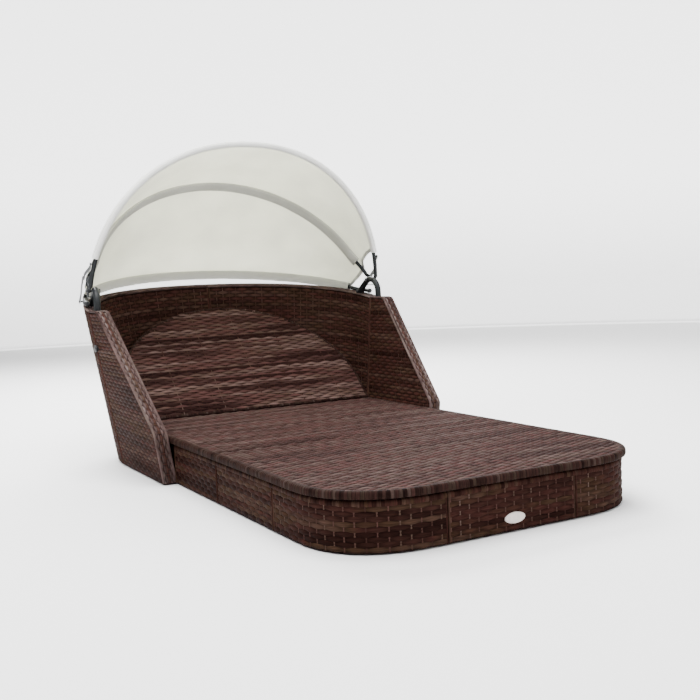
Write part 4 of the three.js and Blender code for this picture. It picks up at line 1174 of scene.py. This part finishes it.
# arches: legs in the leaning walls, an upright hoop above them that slopes down to the rear leg
AF, AR = arr(0.549, 1.583), arr(0.5305, 1.735)
ABEND, ABZ, AFALL, ATURN = 0.045, 0.563, math.radians(36.5), 0.035


def arch_p(y, z):
    x = AF[0] + (AR[0] - AF[0]) * (y - AF[1]) / (AR[1] - AF[1]) + FL * (min(z, 0.540) - TOPZ) - 0.04 * max(z - 0.540, 0.0)
    return arr(x, y, z)


def arch(side, m):
    e = (AF[1] + ABEND * (1 + math.sin(AFALL)), ABZ + ABEND * math.cos(AFALL))
    ty = AR[1] - ATURN + ATURN * math.sin(AFALL)
    tz = e[1] - (ty - e[0]) * math.tan(AFALL)
    c = (AR[1] - ATURN, tz - ATURN * math.cos(AFALL))
    pts = [arch_p(AF[1], z) for z in np.linspace(0.50, ABZ, 10)]
    pts += [arch_p(AF[1] + ABEND + ABEND * math.cos(t), ABZ + ABEND * math.sin(t)) for t in np.linspace(math.pi, math.pi / 2 - AFALL, 30)[1:]]
    pts += [arch_p(e[0] + (ty - e[0]) * k, e[1] + (tz - e[1]) * k) for k in np.linspace(0, 1, 12)[1:]]
    pts += [arch_p(c[0] + ATURN * math.cos(t), c[1] + ATURN * math.sin(t)) for t in np.linspace(math.pi / 2 - AFALL, 0, 14)[1:]]
    pts += [arch_p(AR[1], z) for z in np.linspace(c[1], 0.50, 6)[1:]]
    P = np.array(pts) * arr(m, 1, 1)
    bag = Bag()
    sweep(bag, P, 0.0115, sides=24)
    # slightly flattened grommet where the front leg enters the weave
    g, dd = arch_p(AF[1], TOPZ) * arr(m, 1, 1), arr(m * FL, 0, 1) / math.hypot(1, FL)
    sweep(bag, np.array([g - dd * 0.002, g + dd * 0.0016, g + dd * 0.0028, g + dd * 0.0030]), [0.0143, 0.0143, 0.0130, 0.0117], sides=24)
    add("arch_tube_" + side, bag.mesh("arch_tube_" + side), STEEL, "daybed", ("canopy_arch_" + side,))


both_sides(arch)


# ------------------------------------------------------------------ hub hardware
def disc(bag, x0, x1, c, r, sides=24, m=1, chamfer=0.0005, hexa=False):
    n = 6 if hexa else sides
    xs = [x0, x0 + (chamfer if x1 > x0 else -chamfer), x1 - (chamfer if x1 > x0 else -chamfer), x1]
    P = np.array([[m * x, c[1], c[2]] for x in xs])
    sweep(bag, P, [r - chamfer, r, r, r - chamfer], sides=n)


def dome(bag, x0, h, c, r, m=1, sides=24):
    """Domed rivet head growing outwards from x0."""
    t = np.linspace(0, math.pi / 2, 6)
    P = np.array([[m * (x0 + h * math.sin(a)), c[1], c[2]] for a in t])
    P = np.vstack([[m * (x0 - 0.0006), c[1], c[2]], P])
    sweep(bag, P, [r] + [max(r * math.cos(a), 0.0002) for a in t], sides=sides)


CROWN_X = arch_p(HUB[1], HUB[2])[0]
RB = arch_p(1.704, 0.563)


def hub(side, m):
    H = HUB
    bag = Bag()
    disc(bag, CROWN_X - 0.016, 0.5688, H, 0.0040, m=m)
    disc(bag, 0.5672, 0.5716, H, 0.0066, m=m, hexa=True)
    disc(bag, 0.5668, 0.5676, H, 0.0078, m=m)
    disc(bag, CROWN_X - 0.0132, CROWN_X - 0.0176, H, 0.0066, m=m, hexa=True)
    disc(bag, CROWN_X - 0.0118, CROWN_X - 0.0128, H, 0.0078, m=m)
    me = bag.mesh("hub_bolt_set_" + side)
    me.set_sharp_from_angle(angle=math.radians(35))
    add("hub_bolt_set_" + side, me, DARK_ZINC, "daybed", ("hub_bolt_" + side,))
    refine("hub_plate_" + side, STEEL, 0.0006)
    bag = Bag()
    disc(bag, RB[0] - 0.0165, 0.5672, RB, 0.0030, m=m)
    disc(bag, 0.5659, 0.5677, RB, 0.0050, m=m, hexa=True)
    disc(bag, RB[0] - 0.0137, RB[0] - 0.0185, RB, 0.0056, m=m, hexa=True)
    me = bag.mesh("rear_bow_bolt_set_" + side)
    me.set_sharp_from_angle(angle=math.radians(35))
    add("rear_bow_bolt_set_" + side, me, DARK_ZINC, "daybed", ("rear_bow_bolt_" + side,))
    bag = Bag()
    disc(bag, RB[0] + 0.0128, 0.5498, RB, 0.0070, m=m)
    me = bag.mesh("spacer_round_" + side)
    me.set_sharp_from_angle(angle=math.radians(35))
    add("spacer_round_" + side, me, BLACK, "daybed", ("rear_bow_spacer_" + side,))


both_sides(hub)

# stays: pressed bars with domed rivets
ST_F, ST_E, ST_R = arr(0, 1.5991, 0.697), arr(0, 1.643, 0.652), arr(0, 1.752, 0.569)
XF, XE, XR = 0.5580, 0.5724, 0.5672


def stay(side, m, name, p, q, xp, xq, w, t, body, cad, heads):
    n = 40
    L = float(np.linalg.norm(q - p))
    d = (q - p) / L
    u = np.linspace(-w / 2, L + w / 2, n + 1)
    k = np.clip((u - 0.010) / (L - 0.020), 0, 1)
    k = k * k * (3 - 2 * k)
    x = xp + (xq - xp) * k + t / 2
    e = np.minimum(u + w / 2, L + w / 2 - u)
    half = np.where(e < w / 2, np.sqrt(np.clip((w / 2) ** 2 - (w / 2 - e) ** 2, 1e-8, None)), w / 2)
    P = p[None] + d[None] * u[:, None]
    P[:, 0] = x * m
    bag = Bag()
    sweep(bag, P, t / 2, half, A=arr(1, 0, 0), sides=16, power=6.0)
    me = bag.mesh(name + "_" + side)
    me.set_sharp_from_angle(angle=math.radians(50))
    add(name + "_" + side, me, ZINC, body, (cad,))
    bag = Bag()
    for c, x0, h, r, back in heads:
        dome(bag, x0, h, c, r, m=m)
        if back:
            disc(bag, back[0], back[1], c, back[2], m=m)
    me = bag.mesh(name + "_rivets_" + side)
    me.set_sharp_from_angle(angle=math.radians(45))
    add(name + "_rivets_" + side, me, BLACK, body)


def stays(side, m):
    stay(side, m, "stay_bar_upper", ST_F, ST_E, XF, XE, 0.015, 0.0022, f"upper_stay_{side}", "stay_upper_" + side,
         [(ST_F, XF + 0.0022, 0.0024, 0.0052, (0.5500, XF, 0.0032)), (ST_E, XE + 0.0049, 0.0028, 0.0052, (XE - 0.0012, XE + 0.005, 0.0032))])
    stay(side, m, "stay_bar_lower", ST_E, ST_R, XE + 0.0027, XR, 0.016, 0.0022, f"lower_stay_{side}", "stay_lower_" + side,
         [(ST_R, XR + 0.0022, 0.0026, 0.0052, (0.5560, XR, 0.0034))])


both_sides(stays)


def knob(side, m):
    z = 0.412
    leg = arch_p(AF[1], z)
    ax = NX * 1.0
    face = (WIN + WT + FL * z - leg[0]) * ax[0]
    n, rings = 60, [(0.0035, 0.0), (0.0062, 0.0), (0.0064, 0.0030), (0.0098, 0.0034), (0.0112, 0.0045), (0.0116, 0.0075), (0.0112, 0.0110), (0.0098, 0.0128), (0.0060, 0.0134), (0.0, 0.0135)]
    B1 = np.cross(ax, arr(0, 1, 0))
    B1 /= np.linalg.norm(B1)
    B2 = np.cross(ax, B1)
    th = np.linspace(0, 2 * math.pi, n, endpoint=False)
    G = []
    for r, h in rings:
        lob = 1 + (0.085 * np.cos(5 * th) if r > 0.009 else 0)
        rr = r * lob
        c = leg + ax * (face + 0.0012 + h)
        G.append(c[None] + (B1[None] * np.cos(th)[:, None] + B2[None] * np.sin(th)[:, None]) * np.broadcast_to(rr, n)[:, None])
    G = np.array(G)
    G[..., 0] *= m
    bag = Bag()
    bag.grid(G, None, close=True)
    s = np.array([leg + ax * 0.011, leg + ax * (face + 0.003)])
    s[:, 0] *= m
    sweep(bag, s, 0.003, sides=14)
    me = bag.mesh("knob_lobed_" + side)
    me.set_sharp_from_angle(angle=math.radians(55))
    add("knob_lobed_" + side, me, BLACK, "knob_" + side, ("clamp_knob_" + side,))


both_sides(knob)

# ------------------------------------------------------------------ canopy cloth and sleeves
HEM = {"rear": 0.172, "middle": 0.122, "front": 0.184}
SAG = {"rear": -0.012, "middle": 0.011}
OUT = 0.0102


def smooth_normals(P):
    du, dv = np.gradient(P, axis=0), np.gradient(P, axis=1)
    N = np.cross(du, dv)
    N /= np.linalg.norm(N, axis=-1, keepdims=True) + 1e-12
    c = P - arr(0, BY, BZ)
    flip = (N * c).sum(-1) < 0
    return np.where(flip[..., None], -N, N)


def hem_at(e0, e1, v, sag):
    return e0 * (1 - v) + e1 * v + 4 * sag * v * (1 - v)


def bow_grid(k, hem, u):
    f0 = np.arcsin((hem / BOW[k]["b"]) ** (BOW[k]["n"] / 2))
    return bow(k, f0 + (math.pi - 2 * f0) * u)


def cloth(name, k0, k1, bodies, cad, nu=150, nv=44):
    u = np.linspace(0, 1, nu + 1)
    v = np.linspace(0, 1, nv + 1)
    U, Vv = np.meshgrid(u, v, indexing="ij")
    hem = hem_at(HEM[k0], HEM[k1], Vv, SAG[k0])
    P = bow_grid(k0, hem, U) * (1 - Vv)[..., None] + bow_grid(k1, hem, U) * Vv[..., None]
    N = smooth_normals(P)
    # the cloth is drawn tight between the bows, so it waists inwards a little, and it is tugged near its corners
    bell = (4 * Vv * (1 - Vv)) ** 0.9
    waist = -0.010 * bell * (0.35 + 0.65 * np.sin(np.pi * U))
    edge = np.minimum(U, 1 - U)
    tug = np.exp(-edge / 0.055) * bell
    folds = 0.0022 * tug * np.sin(26 * edge * 6.0 + 9 * (Vv - 0.5)) + 0.0016 * np.exp(-edge / 0.10) * np.sin(Vv * 17 + U * 5) * bell
    low = 0.0009 * np.sin(U * 21 + Vv * 5.0) * np.sin(Vv * 6.0 + 0.7) * bell
    P = P + N * (OUT + waist + folds + low)[..., None]
    # arc length coordinates for the weave
    lu = np.concatenate([[0], np.cumsum(np.linalg.norm(np.diff(P[:, nv // 2], axis=0), axis=1))])
    lv = np.concatenate([[0], np.cumsum(np.linalg.norm(np.diff(P[nu // 2], axis=0), axis=1))])
    area = 0.0
    d1, d2 = P[1:, 1:] - P[:-1, :-1], P[1:, :-1] - P[:-1, 1:]
    area = float(0.5 * np.linalg.norm(np.cross(d1, d2), axis=-1).sum())
    bag = Bag()
    st = np.zeros(P.shape)
    bag.grid(P, st)
    me = bag.mesh(name)
    uvl = me.uv_layers.new(name="cloth")
    idx = np.zeros(len(me.loops), np.int32)
    me.loops.foreach_get("vertex_index", idx)
    UV = np.stack([np.broadcast_to(lu[:, None], U.shape), np.broadcast_to(lv[None], U.shape)], -1).reshape(-1, 2)
    uvl.data.foreach_set("uv", UV[idx].astype(np.float32).ravel())
    o = bpy.data.objects.new(name, me)
    bpy.context.scene.collection.objects.link(o)
    me.materials.append(CLOTH)
    s = o.modifiers.new("thickness", "SOLIDIFY")
    s.thickness = 0.0007
    s.offset = 0
    with bpy.context.temp_override(object=o, active_object=o, selected_objects=[o]):
        bpy.ops.object.modifier_apply(modifier="thickness")
    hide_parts(cad)
    return o, area, float(lu[-1]), float(lv[-1]), P


def sleeve(name, k, s0, body, half=0.0125, thick=0.0098, pinch=1.7, out=0.0, material=None):
    """Cloth tunnel sewn round a bow: a pressed band with the tube bulging in its middle and open ends turned in."""
    P = bow_run(k, s0, 190)
    n = len(P)
    N = plane_normal(k)
    T = np.gradient(P, axis=0)
    T /= np.linalg.norm(T, axis=1, keepdims=True)
    A = np.cross(T, np.tile(N, (n, 1)))
    A /= np.linalg.norm(A, axis=1, keepdims=True)
    c = P - arr(0, BY, BZ)
    A = np.where(((A * c).sum(1) < 0)[:, None], -A, A)
    B = np.cross(T, A)
    d = np.concatenate([[0], np.cumsum(np.linalg.norm(np.diff(P, axis=0), axis=1))])
    bag = Bag()
    th = np.linspace(0, 2 * math.pi, 36, endpoint=False)
    ca = np.sign(np.cos(th)) * np.abs(np.cos(th)) ** (2 / 2.4)
    sa = np.sign(np.sin(th)) * np.abs(np.sin(th)) ** (2 / pinch)
    wa = thick * (1 + 0.02 * np.sin(d * 61) + 0.015 * np.sin(d * 143 + 1))
    wb = half * (1 + 0.015 * np.sin(d * 37 + 2) + 0.012 * np.sin(d * 97))
    G = P[:, None] + A[:, None] * (out + wa[:, None] * ca[None])[..., None] + B[:, None] * (wb[:, None] * sa[None])[..., None]
    ends = []
    for i, sgn in ((0, -1.0), (-1, 1.0)):
        R = G[i] - P[i]
        ends.append([P[i] + R * 0.80 - T[i] * sgn * 0.012, P[i] + R * 0.82, P[i] + R * 0.95 + T[i] * sgn * 0.0008])
    G = np.concatenate([np.array(ends[0]), G, np.array(ends[1])[::-1]])
    me_d = np.concatenate([[-0.014, -0.002, -0.001], d, [d[-1] + 0.001, d[-1] + 0.002, d[-1] + 0.014]])
    bag.grid(G, None, close=True)
    me = bag.mesh(name)
    uvl = me.uv_layers.new(name="cloth")
    idx = np.zeros(len(me.loops), np.int32)
    me.loops.foreach_get("vertex_index", idx)
    UV = np.stack([np.broadcast_to(me_d[:, None], G.shape[:2]), np.broadcast_to((th * 0.0095)[None], G.shape[:2])], -1).reshape(-1, 2)
    uvl.data.foreach_set("uv", UV[idx].astype(np.float32).ravel())
    o = add(name, me, material or SLEEVE_PAINTED_SHADE, body)
    # two rows of stitching along the inner face
    for q, sg in ((1, 1.0), (2, -1.0)):
        f = 0.80
        L = P - A * (thick * (1 - f ** pinch) ** (1 / 2.4) + 0.0002) + B * (sg * half * f)
        stitches(f"{name}_seam_{q}", L[2:-2], -A[2:-2], body)
    return o


def stitches(name, P, N, body, pitch=0.0042, length=0.0028, r=0.00032):
    """A row of small thread stitches lying on the cloth along P."""
    Q, t = resample(P, step=pitch)
    src = np.linspace(0, 1, len(N))
    dst = np.linspace(0, 1, len(Q))
    NN = np.stack([np.interp(dst, src, N[:, k]) for k in range(3)], -1)
    T = np.gradient(Q, axis=0)
    T /= np.linalg.norm(T, axis=1, keepdims=True)
    bag = Bag()
    k = np.array([-1, -0.5, 0.5, 1.0])
    hgt = np.array([-0.0003, 0.0003, 0.0003, -0.0003])
    for q, tt, nn in zip(Q, T, NN):
        L = q[None] + tt[None] * (k * length / 2)[:, None] + nn[None] * hgt[:, None]
        sweep(bag, L, r, A=nn, sides=4, cap=False)
    return add(name, bag.mesh(name), THREAD, body)


c_rear, a_rear, l_rear, w_rear, P_rear = cloth("cloth_rear_panel", "rear", "middle", ("daybed", "mid_bow"), "canopy_cloth_rear")
c_front, a_front, l_front, w_front, P_front = cloth("cloth_front_panel", "middle", "front", ("mid_bow", "front_bow"), "canopy_cloth_front")
sl_front = sleeve("sleeve_front", "front", 0.1768, "front_bow", half=0.0135, thick=0.0110, pinch=1.9, out=0.0028, material=SLEEVE_FRONT)
sl_mid = sleeve("sleeve_middle", "middle", 0.158, "mid_bow", half=0.0250, pinch=1.35)
sl_rear = sleeve("sleeve_rear", "rear", 0.173, "daybed", half=0.0180, pinch=1.5)


def hem_band(name, P, which, body_pair, width=0.014, lift=0.0007):
    """Doubled hem along the scalloped side edges: a narrow strip on both faces of the cloth."""
    bag = Bag()
    for side in (0, 1):
        Q = P if side == 0 else P[::-1]
        N = smooth_normals(P)
        Nq = N if side == 0 else N[::-1]
        # the strip covers the first few columns
        e0, e1 = Q[0], Q[1] + (Q[1] - Q[0]) * 0.0
        d = Q[2] - Q[0]
        d /= np.linalg.norm(d, axis=-1, keepdims=True)
        tt = np.linspace(0, 1, 5)
        for sgn in (1, -1):
            G = e0[:, None] - d[:, None] * 0.0006 + d[:, None] * (width * tt)[None, :, None]
            n = Nq[0][:, None]
            prof = np.array([0.0, 1.0, 1.0, 1.0, 0.35]) * lift * sgn
            G = G + n * (prof[None, :, None] + sgn * 0.0003)
            bag.grid(G, None)
    me = bag.mesh(name)
    uvl = me.uv_layers.new(name="cloth")
    co = np.zeros(len(me.vertices) * 3, np.float32)
    me.vertices.foreach_get("co", co)
    co = co.reshape(-1, 3)
    idx = np.zeros(len(me.loops), np.int32)
    me.loops.foreach_get("vertex_index", idx)
    uvl.data.foreach_set("uv", np.stack([co[idx, 1], co[idx, 2]], -1).astype(np.float32).ravel())
    o = bpy.data.objects.new(name, me)
    bpy.context.scene.collection.objects.link(o)
    # the hem takes the darker sleeve cloth: painted shade
    me.materials.append(SLEEVE_PAINTED_SHADE)
    return o


hem_rear = hem_band("hem_rear_panel", P_rear, 0, None)
hem_front = hem_band("hem_front_panel", P_front, 0, None)


for o, k0, k1, b0, b1 in ((c_rear, "rear", "middle", "daybed", "mid_bow"), (c_front, "middle", "front", "mid_bow", "front_bow"),
                          (hem_rear, "rear", "middle", "daybed", "mid_bow"), (hem_front, "middle", "front", "mid_bow", "front_bow")):
    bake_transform(o)
    # how far round from one bow to the other each vertex lies, measured as an angle about the bows' axis; the value is
    # not stored
    n = len(o.data.vertices)
    co = np.zeros(n * 3, np.float32)
    o.data.vertices.foreach_get("co", co)
    co = co.reshape(-1, 3).astype(float)
    ang = np.arctan2(co[:, 2] - BZ, co[:, 1] + SH - BY)
    t = np.clip((ang - BOW[k0]["t"]) / (BOW[k1]["t"] - BOW[k0]["t"]), 0, 1)

# ------------------------------------------------------------------ floor, light
bm = bmesh.new()
bmesh.ops.create_grid(bm, x_segments=8, y_segments=8, size=14)
me = bpy.data.meshes.new("floor")
bm.to_mesh(me)
bm.free()
floor = bpy.data.objects.new("floor", me)
floor.location = (0, 3, 0)
bpy.context.scene.collection.objects.link(floor)
m, t, p, out = nodes_of("pale_floor")
p.inputs["Base Color"].default_value = (0.88, 0.88, 0.88, 1)
p.inputs["Roughness"].default_value = 0.9
p.inputs["Specular IOR Level"].default_value = 0.1
me.materials.append(m)

# pale studio backdrop, a tall curved screen well behind the bed
bag = Bag()
az = np.linspace(math.radians(59 - 50), math.radians(59 + 30), 41)
hz = np.concatenate([[0.0, 0.02], 0.6 - 0.6 * np.cos(np.linspace(0.2, math.pi / 2, 8)), [1.6, 3.2, 5.2]])
rd = 9.0 - 0.9 * np.clip(1 - hz / 0.6, 0, 1) ** 1.5
A, Hh = np.meshgrid(az, hz, indexing="ij")
Rr = np.broadcast_to(rd[None], A.shape)
bag.grid(np.stack([Rr * np.cos(A), SH + Rr * np.sin(A), Hh], -1))
me = bag.mesh("backdrop")
screen = bpy.data.objects.new("backdrop", me)
bpy.context.scene.collection.objects.link(screen)
m, t, p, out = nodes_of("pale_screen")
p.inputs["Base Color"].default_value = (0.85, 0.85, 0.85, 1)
p.inputs["Roughness"].default_value = 1.0
p.inputs["Specular IOR Level"].default_value = 0.0
p.inputs["Emission Color"].default_value = (1, 1, 1, 1)
tc = node(t, "ShaderNodeTexCoord")
sp = node(t, "ShaderNodeSeparateXYZ")
t.links.new(tc.outputs["Object"], sp.inputs[0])
up = node(t, "ShaderNodeMapRange", interpolation_type="SMOOTHSTEP")
t.links.new(sp.outputs[2], up.inputs["Value"])
for k, q in (("From Min", -0.3), ("From Max", 1.9), ("To Min", 1.15), ("To Max", 2.7)):
    up.inputs[k].default_value = q
t.links.new(up.outputs[0], p.inputs["Emission Strength"])
me.materials.append(m)

world = bpy.data.worlds.new("studio")
bpy.context.scene.world = world
world.use_nodes = True
bg = world.node_tree.nodes["Background"]
bg.inputs[0].default_value = (1.0, 1.0, 1.0, 1)
bg.inputs[1].default_value = 0.40


def area(name, loc, target, size, energy, color=(1, 1, 1)):
    d = bpy.data.lights.new(name, "AREA")
    d.shape = "RECTANGLE"
    d.size, d.size_y = size
    d.energy = energy
    d.color = color
    o = bpy.data.objects.new(name, d)
    o.location = loc
    v = Vector(target) - Vector(loc)
    o.rotation_euler = v.to_track_quat("-Z", "Y").to_euler()
    bpy.context.scene.collection.objects.link(o)
    return o


area("top", (-0.9, -0.4, 4.0), (0, 0, 0), (4.5, 4.5), 640)
area("behind_top", (0.8, 3.6, 3.4), (0, 0.5, 0.6), (3.5, 2.0), 620)
area("front_fill", (1.3, -4.4, 2.0), (0, 0.6, 0.4), (3.0, 2.0), 95)
